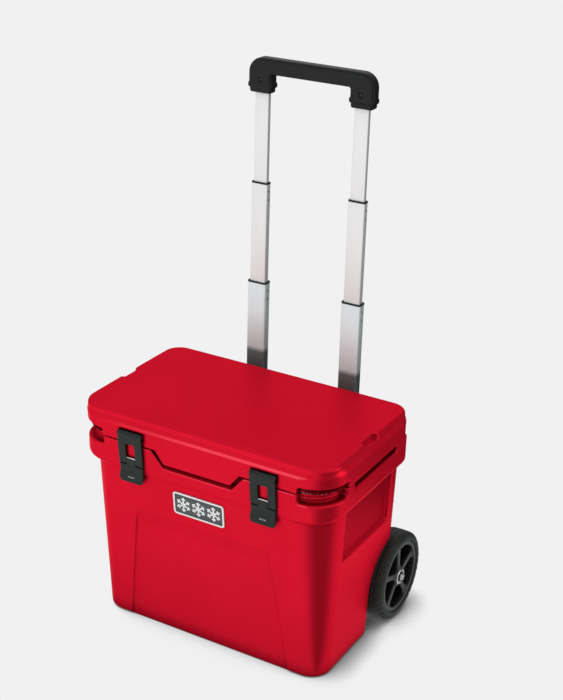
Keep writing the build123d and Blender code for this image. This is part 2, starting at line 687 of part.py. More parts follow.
def wheel_hub(side):
    rim_inner = HUB_RADIUS - HUB_RIM
    near, far = WHEEL_INNER + 2, WHEEL_OUTER - 2
    rim = around_axle([(near, rim_inner), (near, HUB_RADIUS - GAP), (far, HUB_RADIUS - GAP),
                       (far, rim_inner)], side)
    boss = around_axle([(BOSS_START, HUB_BORE), (BOSS_START, BOSS_RADIUS), (far - 1, BOSS_RADIUS),
                        (far - 1, HUB_BORE)], side)
    hub = rim + boss
    disc = span(side, near + HUB_WEB[0], near + HUB_WEB[1])
    web = rod_x(disc, WHEEL_Y, WHEEL_Z, rim_inner + 1) - rod_x(disc, WHEEL_Y, WHEEL_Z, BOSS_RADIUS - 1)
    hub += web
    for i in range(SPOKE_COUNT):
        spoke = block(span(side, near + HUB_WEB[0], far - 3), (-SPOKE_WIDTH / 2, SPOKE_WIDTH / 2),
                      (BOSS_RADIUS - 2, rim_inner + 2))
        hub += Pos(0, WHEEL_Y, WHEEL_Z) * Rot(i * 360 / SPOKE_COUNT, 0, 0) * spoke
    return hub


def wheel_bush(side):
    bore = AXLE_RADIUS + RUNNING
    return around_axle([(BOSS_START, bore), (BOSS_START, HUB_BORE - GAP / 10),
                        (WHEEL_OUTER - 3, HUB_BORE - GAP / 10), (WHEEL_OUTER - 3, bore)], side)


def axle():
    return rod_x((-AXLE_END, AXLE_END), WHEEL_Y, WHEEL_Z, AXLE_RADIUS)


def axle_rings(near, far, radius):
    """A ring on each end of the axle, near and far measured from the middle."""
    bore = AXLE_RADIUS + RUNNING
    return [around_axle([(near, bore), (near, radius), (far, radius), (far, bore)], side)
            for side in (-1, 1)]


def wheel_spacers():
    return Compound(axle_rings(ARCH_WALL + GAP, BOSS_START - GAP, SPACER_RADIUS))


def axle_washers():
    return Compound(axle_rings(WHEEL_OUTER - 3 + GAP, WHEEL_OUTER - 1, WASHER_RADIUS))


def axle_circlips():
    """Retaining rings with a gap, outside the washers."""
    near, far = WHEEL_OUTER - 1 + GAP, WHEEL_OUTER + 1
    opening = [block(span(side, near - 1, far + 1), (WHEEL_Y, WHEEL_Y + 20), (WHEEL_Z - 3, WHEEL_Z + 3))
               for side in (-1, 1)]
    return Compound(axle_rings(near, far, CIRCLIP_RADIUS)) - opening


# ---------------------------------------------------------------- telescoping handle

def tube_outline(width, depth):
    return RectangleRounded(width, depth, min(depth, width) * 0.22)


def pair(shape):
    """Puts a shape, drawn on the Z axis, on both tubes' centre lines."""
    return Compound([Pos(x, TUBE_Y, 0) * shape for x in (-TUBE_X, TUBE_X)])


def stage_tubes(stage, z, rivets=()):
    width, depth, wall = stage
    ring = tube_outline(width, depth) - tube_outline(width - 2 * wall, depth - 2 * wall)
    tube = Pos(0, 0, z[0]) * extrude(ring, z[1] - z[0])
    for drop in rivets:
        tube -= rod_x((-width, width), 0, z[1] - drop, RIVET_RADIUS + GAP / 3)
    return pair(tube)


def collars(stage, inner_stage, top, rivets=()):
    """A cap on each tube of a stage, with a sleeve inside that guides the next stage."""
    width, depth, wall = stage
    hole = tube_outline(inner_stage[0] + GAP, inner_stage[1] + GAP)
    cap = Pos(0, 0, top) * extrude(tube_outline(width + 1.6, depth + 1.6) - hole, COLLAR_THICK)
    sleeve = tube_outline(width - 2 * wall - GAP, depth - 2 * wall - GAP) - hole
    length = COLLAR_SLEEVE + (RIVET_DROPS[1] if rivets else 0)
    collar = cap + Pos(0, 0, top - length) * extrude(sleeve, length)
    for drop in rivets:
        collar -= rod_x((-width, width), 0, top - drop, RIVET_RADIUS + GAP / 3)
    return pair(collar)


def collar_rivets(stage, inner_stage, top):
    """The rivets that hold a stage's collars, two in each narrow face."""
    rivets = []
    for x in (-TUBE_X, TUBE_X):
        for side in (-1, 1):
            near, far = span(side, inner_stage[0] / 2 + 0.4, stage[0] / 2)
            for drop in RIVET_DROPS:
                rivets.append(rod_x((x + near, x + far), TUBE_Y, top - drop, RIVET_RADIUS))
    return Compound(rivets)


def glides(stage, outer_stage, z_low):
    """A plastic ring on the foot of each tube of a stage, which slides in the stage outside it."""
    width, depth, wall = stage
    room = outer_stage[2] * 2 + 2 * GAP
    foot = tube_outline(outer_stage[0] - room, outer_stage[1] - room)
    hole = tube_outline(width - 2 * wall - 2, depth - 2 * wall - 2)
    return pair(Pos(0, 0, z_low - 4) * extrude(foot - hole, 4 - GAP))


def handle_grip():
    """The bar, its two legs, and a bead round each leg above its collar."""
    half_bar = GRIP_HALF - GRIP_CORNER
    inner = GRIP_HALF - GRIP_LEG
    outline = (
        Line((-GRIP_HALF, GRIP_BOTTOM + 6), (-GRIP_HALF, GRIP_TOP - GRIP_CORNER))
        + RadiusArc((-GRIP_HALF, GRIP_TOP - GRIP_CORNER), (-half_bar, GRIP_TOP), GRIP_CORNER)
        + Line((-half_bar, GRIP_TOP), (half_bar, GRIP_TOP))
        + RadiusArc((half_bar, GRIP_TOP), (GRIP_HALF, GRIP_TOP - GRIP_CORNER), GRIP_CORNER)
        + Polyline((GRIP_HALF, GRIP_TOP - GRIP_CORNER), (GRIP_HALF, GRIP_BOTTOM + 6),
                   (inner, GRIP_BOTTOM + 6), (inner, GRIP_TOP - GRIP_BAR - GRIP_ARCH),
                   (inner - GRIP_ARCH, GRIP_TOP - GRIP_BAR), (-inner + GRIP_ARCH, GRIP_TOP - GRIP_BAR),
                   (-inner, GRIP_TOP - GRIP_BAR - GRIP_ARCH), (-inner, GRIP_BOTTOM + 6),
                   (-GRIP_HALF, GRIP_BOTTOM + 6))
    )
    bar = Pos(0, TUBE_Y + GRIP_DEPTH / 2, 0) * extrude(Plane.XZ * make_face(outline), GRIP_DEPTH)
    long_edges = bar.edges().filter_by(lambda e: e.bounding_box().size.Y < 0.01)
    bar = fillet(long_edges, GRIP_EDGE)
    legs = []
    sockets = []
    for x in (-TUBE_X, TUBE_X):
        leg_middle = math.copysign(GRIP_HALF - GRIP_LEG / 2, x)
        cuff = Pos(leg_middle, TUBE_Y, GRIP_BOTTOM) * extrude(
            RectangleRounded(GRIP_LEG - 4, GRIP_DEPTH - 3, 8), CUFF_HEIGHT)
        bead_z = GRIP_BOTTOM + BEAD_RISE
        bead = Pos(leg_middle, TUBE_Y, bead_z) * extrude(
            RectangleRounded(GRIP_LEG + 2, GRIP_DEPTH, 9), BEAD_HEIGHT)
        bead_edges = outward(bead.edges(), bead_z) + outward(bead.edges(), bead_z + BEAD_HEIGHT)
        legs += [cuff, fillet(bead_edges, 3)]
        sockets.append(Pos(x, TUBE_Y, GRIP_BOTTOM - 1) * extrude(
            tube_outline(STAGE_3[0] + GAP, STAGE_3[1] + GAP), STAGE_3_Z[1] - GRIP_BOTTOM + 1 + GAP))
        sockets.append(grip_screw(x, GAP))
    return bar + legs - sockets


def grip_screw(x, grow=0.0):
    """One screw that holds the grip to a tube, set into the front of its leg."""
    front = TUBE_Y - GRIP_DEPTH / 2
    tube_face = TUBE_Y - STAGE_3[1] / 2
    height = GRIP_BOTTOM + GRIP_SCREW_RISE
    head = rod_y(x, (front - grow * 5, front + 2.5 + grow), height, 4 + grow)
    return head + rod_y(x, (front + 2, tube_face - GAP), height, 2 + grow / 2)


def grip_screws():
    front = TUBE_Y - GRIP_DEPTH / 2
    ahead = block((-GRIP_HALF, GRIP_HALF), (front - GRIP_DEPTH, front + 0.6), (GRIP_BOTTOM, GRIP_TOP))
    return Compound([grip_screw(x) for x in (-TUBE_X, TUBE_X)]) - ahead


def tube_sockets(z, closed_below=None):
    """Two thick rings round the outer tubes, with a floor if closed_below is given."""
    width, depth = OUTER_TUBE[0] + 2 * SOCKET_WALL[0], OUTER_TUBE[1] + 2 * SOCKET_WALL[1]
    low = z[0] if closed_below is None else closed_below
    body = Pos(0, 0, low) * extrude(RectangleRounded(width, depth, 8), z[1] - low)
    hole_low = z[0] if closed_below is None else OUTER_TUBE_Z[0] - GAP
    hole = Pos(0, 0, hole_low) * extrude(
        tube_outline(OUTER_TUBE[0] + GAP, OUTER_TUBE[1] + GAP), z[1] - hole_low)
    return pair(body), pair(hole)


def bracket(z, wall, arm_z, rings, holes):
    """A plate against the chest, two arms, and a socket for each outer tube."""
    plate = block((-BRACKET_HALF, BRACKET_HALF), (wall, wall + BRACKET_PLATE), z)
    arms = [block((x - ARM_HALF, x + ARM_HALF), (wall, TUBE_Y - 8), arm_z) for x in (-TUBE_X, TUBE_X)]
    return plate + arms + rings - holes - screw_shanks(GAP)


def upper_bracket_wall():
    return at_height(UPPER_BRACKET_Z[1], BASE_REAR, TOP_REAR) + BRACKET_GAP


def lower_bracket_wall():
    return BEAM_Y[1] + BRACKET_GAP


def handle_upper_bracket():
    low, high = UPPER_BRACKET_Z
    return bracket((low, high), upper_bracket_wall(), (low + ARM_STEP, high - ARM_STEP),
                   *tube_sockets(UPPER_BRACKET_Z))


def handle_lower_bracket():
    return bracket(LOWER_BRACKET_Z, lower_bracket_wall(), LOWER_BRACKET_Z,
                   *tube_sockets(LOWER_BRACKET_Z, closed_below=SOCKET_FLOOR))


def screw_shanks(grow=0.0):
    """The eight bracket screws, with heads on the brackets' plates."""
    upper, lower = bracket_screw_points()
    head_radius, head_height = SCREW_HEAD
    screws = []
    for points, wall, reach in ((upper, upper_bracket_wall(), UPPER_SCREW_REACH),
                                (lower, lower_bracket_wall(), LOWER_SCREW_REACH)):
        face = wall + BRACKET_PLATE
        for x, z in points:
            shank = rod_y(x, (face - reach - grow, face + 1), z, SCREW_RADIUS + grow / 2)
            screws.append(shank + rod_y(x, (face + GAP, face + head_height), z, head_radius))
    return screws


# ---------------------------------------------------------------- all nodes

def nodes():
    """Every sub-part by its node name."""
    parts = {
        "body_shell": body_shell(),
        "body_foam": body_foam(),
        "body_liner": body_liner(),
        "badge_rim": badge_rim(),
        "badge_plate": badge_plate(),
        "lid_shell": lid_shell(),
        "lid_foam": lid_foam(),
        "lid_liner": lid_liner(),
        "lid_gasket": lid_gasket(),
        "hinge_leaves_body": hinge_leaves_body(),
        "hinge_leaves_lid": hinge_leaves_lid(),
        "hinge_pins": hinge_pins(),
        "hinge_screws_body": Compound(leaf_screws(BODY_LEAF_Z)),
        "hinge_screws_lid": Compound(leaf_screws(LID_LEAF_Z)),
        "latch_hinge_pins": latch_hinge_pins(),
        "axle": axle(),
        "wheel_spacers": wheel_spacers(),
        "axle_washers": axle_washers(),
        "axle_circlips": axle_circlips(),
        "handle_outer_tubes": stage_tubes(OUTER_TUBE, OUTER_TUBE_Z),
        "outer_tube_collars": collars(OUTER_TUBE, STAGE_1, OUTER_TUBE_Z[1]),
        "handle_upper_bracket": handle_upper_bracket(),
        "handle_lower_bracket": handle_lower_bracket(),
        "bracket_screws": Compound(screw_shanks()),
        "stage_1_tubes": stage_tubes(STAGE_1, STAGE_1_Z, RIVET_DROPS),
        "stage_1_collars": collars(STAGE_1, STAGE_2, STAGE_1_Z[1], RIVET_DROPS),
        "stage_1_rivets": collar_rivets(STAGE_1, STAGE_2, STAGE_1_Z[1]),
        "stage_1_glides": glides(STAGE_1, OUTER_TUBE, STAGE_1_Z[0]),
        "stage_2_tubes": stage_tubes(STAGE_2, STAGE_2_Z, RIVET_DROPS),
        "stage_2_collars": collars(STAGE_2, STAGE_3, STAGE_2_Z[1], RIVET_DROPS),
        "stage_2_rivets": collar_rivets(STAGE_2, STAGE_3, STAGE_2_Z[1]),
        "stage_2_glides": glides(STAGE_2, STAGE_1, STAGE_2_Z[0]),
        "stage_3_tubes": stage_tubes(STAGE_3, STAGE_3_Z),
        "stage_3_glides": glides(STAGE_3, STAGE_2, STAGE_3_Z[0]),
        "handle_grip": handle_grip(),
        "grip_screws": grip_screws(),
    }
    for name, side in (("left", -1), ("right", 1)):
        parts[f"latch_frame_{name}"] = latch_frame(side * LATCH_X)
        parts[f"latch_lever_{name}"] = latch_lever(side * LATCH_X)
        parts[f"latch_lever_pin_{name}"] = latch_lever_pin(side * LATCH_X)
        parts[f"tyre_{name}"] = tyre(side)
        parts[f"wheel_hub_{name}"] = wheel_hub(side)
        parts[f"wheel_bush_{name}"] = wheel_bush(side)
    return parts


os.makedirs("parts", exist_ok=True)
for node, shape in nodes().items():
    write(node, shape)
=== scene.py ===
import json
import math

import bmesh
import bpy
import numpy as np
from mathutils import Matrix, Vector


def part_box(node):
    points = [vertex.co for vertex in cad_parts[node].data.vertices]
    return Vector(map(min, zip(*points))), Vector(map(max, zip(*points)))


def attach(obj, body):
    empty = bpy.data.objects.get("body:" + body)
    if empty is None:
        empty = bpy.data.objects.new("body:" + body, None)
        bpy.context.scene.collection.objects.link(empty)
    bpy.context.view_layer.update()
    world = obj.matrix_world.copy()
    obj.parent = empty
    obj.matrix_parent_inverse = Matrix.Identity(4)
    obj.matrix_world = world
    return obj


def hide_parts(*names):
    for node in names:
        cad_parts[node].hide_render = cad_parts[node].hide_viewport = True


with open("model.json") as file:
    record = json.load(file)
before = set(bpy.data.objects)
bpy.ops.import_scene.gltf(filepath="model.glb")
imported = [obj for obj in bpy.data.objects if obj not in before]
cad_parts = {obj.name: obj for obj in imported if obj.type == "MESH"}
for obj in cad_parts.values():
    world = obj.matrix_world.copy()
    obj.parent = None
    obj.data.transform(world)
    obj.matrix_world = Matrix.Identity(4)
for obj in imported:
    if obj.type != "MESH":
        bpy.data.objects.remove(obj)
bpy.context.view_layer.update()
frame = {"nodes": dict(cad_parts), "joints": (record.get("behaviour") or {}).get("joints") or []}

# Wheeled cooler chest. The rounded mouldings are built as meshes of smooth distance fields, written in
# millimetres in the CAD's own frame: x across the front, y from the latches to the handle, z up.

MM = 0.001


def mm(node):
    """The lowest and highest corner of a CAD node, in millimetres."""
    return [[value / MM for value in corner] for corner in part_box(node)]


# -------- sizes, from the frame where it has them

BODY_TOP = mm("body_liner")[1][2]
LID_HALF = mm("lid_shell")[1][0]
LID_REAR = mm("lid_shell")[1][1]
LID_TOP = mm("lid_shell")[1][2]
LIP_BOTTOM = mm("lid_shell")[0][2]
LID_BOTTOM = mm("lid_liner")[1][2] - 3
RIM_HALF = mm("body_shell")[1][0]
HINGE_Y, HINGE_Z = [v / MM for v in frame["joints"][0]["pos_m"][1:]]
WHEEL_Y, WHEEL_Z = [(a + b) / 2 for a, b in zip(*mm("tyre_right"))][1:]
WHEEL_RADIUS = (mm("tyre_right")[1][2] - mm("tyre_right")[0][2]) / 2
WHEEL_INNER, WHEEL_OUTER = mm("tyre_right")[0][0], mm("tyre_right")[1][0]
LATCH_X = 135.0
SIDES = (("left", -1), ("right", 1))
LATCH_Y, LATCH_Z = [v / MM for v in frame["joints"][1]["pos_m"][1:]]
TUBE_X = 100.0
TUBE_Y = (mm("handle_grip")[0][1] + mm("handle_grip")[1][1]) / 2

# the walls at the base and at the top of the body; corners are the radii at the front and at the rear
BASE_HALF, TOP_HALF = 234.5, 251.0
BASE_FRONT, TOP_FRONT = -117.0, -158.0
BASE_REAR, TOP_REAR = 155.0, 157.0
BASE_CORNERS, TOP_CORNERS = (40.0, 28.0), (83.0, 46.0)

# the rim band round the top of the body
RIM_START, RIM_PROUD = 331.0, 0.8
RIM_REAR = mm("body_shell")[1][1] - 8.5
RIM_CORNERS = (62.0, 31.0)

# the tie-down pockets round the front corners: where they start beside the middle, and where they end
POCKET_SIDE, POCKET_END = 197.0, -90.0
POCKET_FLOOR, LID_POCKET_TOP = 371.0, 400.0

# what the body and the lid leave free for the two hinges
LEAF_X, LEAF_Y = (119.0, 181.0), 150.9
HINGE_CLEARANCE = 7.5
LEAN = math.atan2(BASE_FRONT - TOP_FRONT, BODY_TOP)


# -------- distance fields

def join(a, b, r=0.0):
    """Both shapes, with a fillet of radius r where they meet."""
    if r == 0:
        return np.minimum(a, b)
    return np.maximum(r, np.minimum(a, b)) - np.hypot(np.maximum(r - a, 0), np.maximum(r - b, 0))


def common(a, b, r=0.0):
    """What two shapes share, with its new edges rounded to radius r."""
    if r == 0:
        return np.maximum(a, b)
    return np.minimum(-r, np.maximum(a, b)) + np.hypot(np.maximum(a + r, 0), np.maximum(b + r, 0))


def carve(a, b, r=0.0):
    """Shape a without shape b, with the cut's edges rounded to radius r."""
    return common(a, -b, r)


def between(value, low, high):
    """A slab from low to high."""
    return np.abs(value - (low + high) / 2) - (high - low) / 2


def plan(x, y, half, front, rear, front_corner, rear_corner=None):
    """A rounded rectangle, symmetric about the middle."""
    middle = (front + rear) / 2
    corner = front_corner
    if rear_corner is not None:
        corner = np.where(y < middle, front_corner, rear_corner)
    qx = np.abs(x) - (half - corner)
    qy = np.abs(y - middle) - ((rear - front) / 2 - corner)
    return np.hypot(np.maximum(qx, 0), np.maximum(qy, 0)) + np.minimum(np.maximum(qx, qy), 0) - corner


def bar(r, *slabs):
    """What several slabs share, with rounded edges."""
    shape = slabs[0]
    for slab in slabs[1:]:
        shape = common(shape, slab, r)
    return shape


CORNERS = np.array([[i, j, k] for i in (0, 1) for j in (0, 1) for k in (0, 1)])
EDGES = [(a, b) for a in range(8) for b in range(a + 1, 8) if np.abs(CORNERS[a] - CORNERS[b]).sum() == 1]


def surface_points(values, low, step):
    """One point in each grid cell that the surface passes through, and the grid of their numbers."""
    inside = values < 0
    count = sum(inside[i:inside.shape[0] - 1 + i, j:inside.shape[1] - 1 + j, k:inside.shape[2] - 1 + k]
                .astype(np.int8) for i, j, k in CORNERS)
    mixed = (count > 0) & (count < 8)
    cells = np.argwhere(mixed)
    number = np.full(mixed.shape, -1, np.int32)
    number[mixed] = np.arange(len(cells))
    at = np.stack([values[tuple((cells + c).T)] for c in CORNERS], 1)
    total = np.zeros((len(cells), 3))
    hits = np.zeros(len(cells))
    for a, b in EDGES:
        cross = (at[:, a] < 0) != (at[:, b] < 0)
        share = at[cross, a] / (at[cross, a] - at[cross, b])
        total[cross] += CORNERS[a] + share[:, None] * (CORNERS[b] - CORNERS[a])
        hits[cross] += 1
    return (cells + total / hits[:, None]) * step + low, number, inside


def surface_quads(number, inside):
    """A face across each grid edge that the surface passes through, turned outward."""
    quads = []
    for axis in range(3):
        solid = np.moveaxis(inside, axis, 0)
        ids = np.moveaxis(number, axis, 0)
        i, j, k = np.nonzero(solid[1:, 1:-1, 1:-1] != solid[:-1, 1:-1, 1:-1])
        quad = np.stack([ids[i, j, k], ids[i, j + 1, k], ids[i, j + 1, k + 1], ids[i, j, k + 1]], 1)
        outward = solid[:-1, 1:-1, 1:-1][i, j, k] ^ (axis == 1)
        quad[~outward] = quad[~outward][:, ::-1]
        quads.append(quad)
    return np.concatenate(quads)


def settle(points, field, step):
    """Moves the points onto the exact surface, along the field's slope."""
    for _ in range(3):
        x, y, z = points.T
        value = field(x, y, z)
        h = step * 0.2
        slope = np.stack([field(x + h, y, z) - field(x - h, y, z), field(x, y + h, z) - field(x, y - h, z),
                          field(x, y, z + h) - field(x, y, z - h)], 1) / (2 * h)
        size = np.maximum((slope ** 2).sum(1), 0.2)
        move = -(value / size)[:, None] * slope
        length = np.maximum(np.linalg.norm(move, axis=1), 1e-9)
        points = points + move * np.minimum(1, 0.5 * step / length)[:, None]
    return points


def mould(name, field, low, high, step, turn=None):
    """A closed smooth mesh where field(x, y, z) is zero, sampled every step millimetres."""
    low = np.array(low, float) - 2 * step
    axes = [np.arange(a, b + 2 * step, step) for a, b in zip(low, high)]
    grids = [axes[0][:, None, None], axes[1][None, :, None], axes[2][None, None, :]]
    values = np.broadcast_to(field(*[g.astype(np.float32) for g in grids]), [len(a) for a in axes])
    points, number, inside = surface_points(values, low, step)
    quads = surface_quads(number, inside)
    points = settle(points, field, step)
    return build_mesh(name, points * MM, quads, turn)


def build_mesh(name, points, quads, turn=None):
    """A mesh object from arrays of points and four-sided faces."""
    mesh = bpy.data.meshes.new(name)
    mesh.vertices.add(len(points))
    mesh.vertices.foreach_set("co", np.asarray(points, np.float32).ravel())
    mesh.loops.add(quads.size)
    mesh.loops.foreach_set("vertex_index", quads.astype(np.int32).ravel())
    mesh.polygons.add(len(quads))
    mesh.polygons.foreach_set("loop_start", np.arange(0, quads.size, 4, dtype=np.int32))
    mesh.update(calc_edges=True)
    mesh.validate()
    mesh.polygons.foreach_set("use_smooth", np.ones(len(mesh.polygons), bool))
    if turn is not None:
        mesh.transform(turn)
        if turn.determinant() < 0:
            mesh.flip_normals()
    piece = bpy.data.objects.new(name, mesh)
    bpy.context.scene.collection.objects.link(piece)
    return piece


# -------- shader nodes

def node_adder(tree):
    """A helper that adds a shader node, and sets its inputs and options by name."""
    def add(kind, **values):
        node = tree.nodes.new("ShaderNode" + kind)
        for key, value in values.items():
            if key in node.inputs:
                node.inputs[key].default_value = value
            else:
                setattr(node, key, value)
        return node
    return add


def material(name):
    """An empty node material, with its helper that links, its surface shader and its helper that adds."""
    made = bpy.data.materials.new(name)
    made.use_nodes = True
    tree = made.node_tree
    return made, tree.links.new, tree.nodes["Principled BSDF"], node_adder(tree)


def position(add):
    """The point's place on its own mesh, in metres, so that the pattern moves with the piece."""
    return add("TexCoord").outputs["Object"]


def noise(add, link, scale, detail=3.0, stretch=(1, 1, 1)):
    """A noise pattern; scale is in patterns per metre."""
    mapping = add("Mapping", Scale=stretch)
    link(position(add), mapping.inputs["Vector"])
    pattern = add("TexNoise", Scale=scale, Detail=detail)
    link(mapping.outputs["Vector"], pattern.inputs["Vector"])
    return pattern.outputs["Fac"]


def ramp(add, link, source, low, high, start, end):
    """Turns a value between start and end into a value between low and high."""
    node = add("MapRange", **{"From Min": start, "From Max": end, "To Min": low, "To Max": high})
    link(source, node.inputs["Value"])
    return node.outputs["Result"]


def blend(add, link, share, first, second, kind="MIX"):
    """A colour mixed from two. The share and the colours are plain values or come from a node."""
    mix = add("Mix", data_type="RGBA", blend_type=kind)
    for name, value in (("Factor", share), ("A", first), ("B", second)):
        if isinstance(value, tuple):
            mix.inputs[name].default_value = (*value, 1)
        elif isinstance(value, float):
            mix.inputs[name].default_value = value
        else:
            link(value, mix.inputs[name])
    return mix.outputs["Result"]


def bump(add, link, height, strength, distance):
    """A bump normal from a height pattern; distance is in metres."""
    node = add("Bump", Strength=strength, Distance=distance)
    link(height, node.inputs["Height"])
    return node.outputs["Normal"]


WEAR_AND_SHEEN = (0.53, 0.62)         # how pointed an edge is where its rubbed look and painted highlight start, and where they are full
GRAIN_DEPTH = 0.0002        # metres


def wear_and_sheen(add, link):
    """A value that is high on outer edges, where a moulding is rubbed and where a painted highlight goes."""
    return ramp(add, link, add("NewGeometry").outputs["Pointiness"], 0, 1, *WEAR_AND_SHEEN)


def crevice_shade(add, link, reach, floor):
    """Painted shade: a share from floor up to 1 that drops where other surfaces are within reach, in metres.
    """
    near = add("AmbientOcclusion", samples=6, Distance=reach)
    return ramp(add, link, near.outputs["AO"], floor, 1, 0.30, 0.82)


def darker(add, link, colour, share):
    """A colour multiplied by a share from 0 to 1 that comes from a node."""
    return blend(add, link, 1.0, colour, share, "MULTIPLY")


# the glint is painted below this height and grows between these two places across, in metres
GLINT_TOP, GLINT_FADE = 0.4232, 0.0015
GLINT_X = (-0.19, 0.02)
GLINT_FACING = (0, -0.955, 0.297)


def glint(add, link, colour, pale):
    """A painted highlight: a paler colour on the rounded edges that face forward and a little up, stronger to
    the right.
    """
    facing = add("VectorMath", operation="DOT_PRODUCT")
    link(add("NewGeometry").outputs["Normal"], facing.inputs[0])
    facing.inputs[1].default_value = GLINT_FACING
    place = add("SeparateXYZ")
    link(position(add), place.inputs["Vector"])
    share = ramp(add, link, facing.outputs["Value"], 0, 0.6, 0.968, 0.992)
    below = ramp(add, link, place.outputs["Z"], 1, 0, GLINT_TOP - GLINT_FADE, GLINT_TOP)
    rightward = ramp(add, link, place.outputs["X"], 0, 1, *GLINT_X)
    for limit in (below, rightward):
        limited = add("Math", operation="MULTIPLY")
        link(share, limited.inputs[0])
        link(limit, limited.inputs[1])
        share = limited.outputs["Value"]
    return blend(add, link, share, colour, pale)


def patchy(add, link, scale, detail=2):
    """Soft patches from 0 to 1, for a colour that isn't quite even."""
    return ramp(add, link, noise(add, link, scale, detail), 0, 1, 0.35, 0.65)


def grained(add, link, shader, pattern, roughness, strength, depth=GRAIN_DEPTH):
    """Gives a surface the roughness, between two values, and the fine bumps of a pattern."""
    link(ramp(add, link, pattern, *roughness, 0.3, 0.7), shader.inputs["Roughness"])
    link(bump(add, link, pattern, strength, depth), shader.inputs["Normal"])


def shaded(colour, share):
    return tuple(share * part for part in colour)


RED_DARKER, RED_PALER = (0.625, 0.0077, 0.025), (0.655, 0.0082, 0.027)
# the colour of rubbed edges, which also carry a painted highlight, and of the painted glint
RED_WEAR_AND_SHEEN, RED_LIT = (0.74, 0.020, 0.044), (0.85, 0.075, 0.115)


def red_plastic(name, share=1.0, grain_scale=1400, grain_height=0.08):
    """Rotationally moulded polyethylene, satin and finely grained, with paler rubbed edges, painted
    highlights and painted shade in its creases.
    """
    made, link, shader, add = material(name)
    base = blend(add, link, patchy(add, link, 9), shaded(RED_DARKER, share), shaded(RED_PALER, share))
    base = blend(add, link, wear_and_sheen(add, link), base, RED_WEAR_AND_SHEEN)
    base = glint(add, link, base, RED_LIT)
    # painted shade where other surfaces are near
    link(darker(add, link, base, crevice_shade(add, link, 0.045, 0.15)), shader.inputs["Base Color"])
    grained(add, link, shader, noise(add, link, grain_scale, 4), (0.32, 0.42), grain_height)
    shader.inputs["Metallic"].default_value = 0.68
    shader.inputs["Specular IOR Level"].default_value = 0.0
    shader.inputs["Specular Tint"].default_value = (1, 0.48, 0.50, 1)
    return made


def black_plastic(name, colour, roughness, grain_scale=1500, grain=0.15, specular=0.45, deep=0.45,
                  reach=0.03):
    """A dark moulded plastic or rubber with a fine spark-eroded grain, paler rubbed edges that also carry a
    painted highlight, and painted shade down in its openings.
    """
    made, link, shader, add = material(name)
    base = blend(add, link, patchy(add, link, 60, 3), shaded(colour, 0.82), colour)
    # paler rubbed edges, which also carry a painted highlight
    paler = tuple(min(1, part * 1.9 + 0.01) for part in colour)
    base = blend(add, link, wear_and_sheen(add, link), base, paler)
    # painted shade down in the openings
    link(darker(add, link, base, crevice_shade(add, link, reach, deep)), shader.inputs["Base Color"])
    rough = (roughness - 0.06, roughness + 0.08)
    grained(add, link, shader, noise(add, link, grain_scale, 3), rough, grain)
    shader.inputs["Specular IOR Level"].default_value = specular
    return made


DRAW_LINES = 700            # lines per metre
SIDE_FACE_SHADE = 0.35      # how much of its colour a tube's side face keeps under painted shade
FOOT_SHADE_HEIGHT = 0.444         # metres; the lowest tube stage has painted shade from here down


def brushed_metal(name, colour, roughness, stretch, metallic=1.0, foot=()):
    """Metal with fine draw lines along one direction, with painted shade on the faces turned sideways. Each
    pair in foot is the share of the colour that painted shade leaves at the foot of the tube, and the height
    where the colour is full again."""
    made, link, shader, add = material(name)
    lines = noise(add, link, DRAW_LINES, 4, stretch)
    drawn = blend(add, link, ramp(add, link, lines, 0, 1, 0.3, 0.7), shaded(colour, 0.93), colour)
    # painted shade on the faces that look along x
    facing = add("SeparateXYZ")
    link(add("TexCoord").outputs["Normal"], facing.inputs["Vector"])
    sideways = add("Math", operation="ABSOLUTE")
    link(facing.outputs["X"], sideways.inputs[0])
    turned = ramp(add, link, sideways.outputs["Value"], 1, SIDE_FACE_SHADE, 0.6, 0.95)
    drawn = darker(add, link, drawn, turned)
    # painted shade towards the foot of the tube
    height = add("SeparateXYZ")
    link(position(add), height.inputs["Vector"])
    for low, end in foot:
        drawn = darker(add, link, drawn, ramp(add, link, height.outputs["Z"], low, 1, FOOT_SHADE_HEIGHT, end))
    link(drawn, shader.inputs["Base Color"])
    grained(add, link, shader, lines, (roughness - 0.05, roughness + 0.08), 0.08, GRAIN_DEPTH / 2)
    shader.inputs["Metallic"].default_value = metallic
    return made


def pale_plastic(name, colour, roughness):
    """A light, plain moulded plastic with a fine grain."""
    made, link, shader, add = material(name)
    base = blend(add, link, patchy(add, link, 14), shaded(colour, 0.95), colour)
    link(base, shader.inputs["Base Color"])
    rough = (roughness - 0.05, roughness + 0.05)
    grained(add, link, shader, noise(add, link, 1100, 3), rough, 0.08)
    return made


# how far the draw lines are stretched on upright tubes and on parts turned in a lathe
UPRIGHT, TURNED = (6, 6, 0.02), (0.05, 4, 4)

RED = red_plastic("red_polyethylene")
# a coarser grain, darkened at 0.62 as painted shade under the rim
RED_COARSE_SHADED = red_plastic("red_coarse_grain_painted_shade", 0.62, 700, 0.35)
# painted shade for the undercut wall in the lid
RED_SHADE = red_plastic("red_undercut_painted_shade", 0.16)
LATCH_BLACK = black_plastic("latch_rubber", (0.010, 0.015, 0.012), 0.46, specular=0.22)
GRIP_BLACK = black_plastic("grip_plastic", (0.005, 0.006, 0.006), 0.42, specular=0.22)
# the hub's painted shade reaches far and goes to black between its spokes
HUB_BLACK = black_plastic("hub_plastic", (0.036, 0.039, 0.038), 0.48, specular=0.2, deep=0.0, reach=0.07)
TYRE_BLACK = black_plastic("tyre_rubber", (0.012, 0.016, 0.013), 0.62, 900, 0.3, 0.25)
BRACKET_BLACK = black_plastic("bracket_plastic", (0.026, 0.028, 0.028), 0.50)
SEAL_GREY = black_plastic("seal_rubber", (0.10, 0.10, 0.105), 0.65)
ALUMINIUM = brushed_metal("brushed_aluminium", (0.80, 0.81, 0.81), 0.42, UPRIGHT, 0.15)
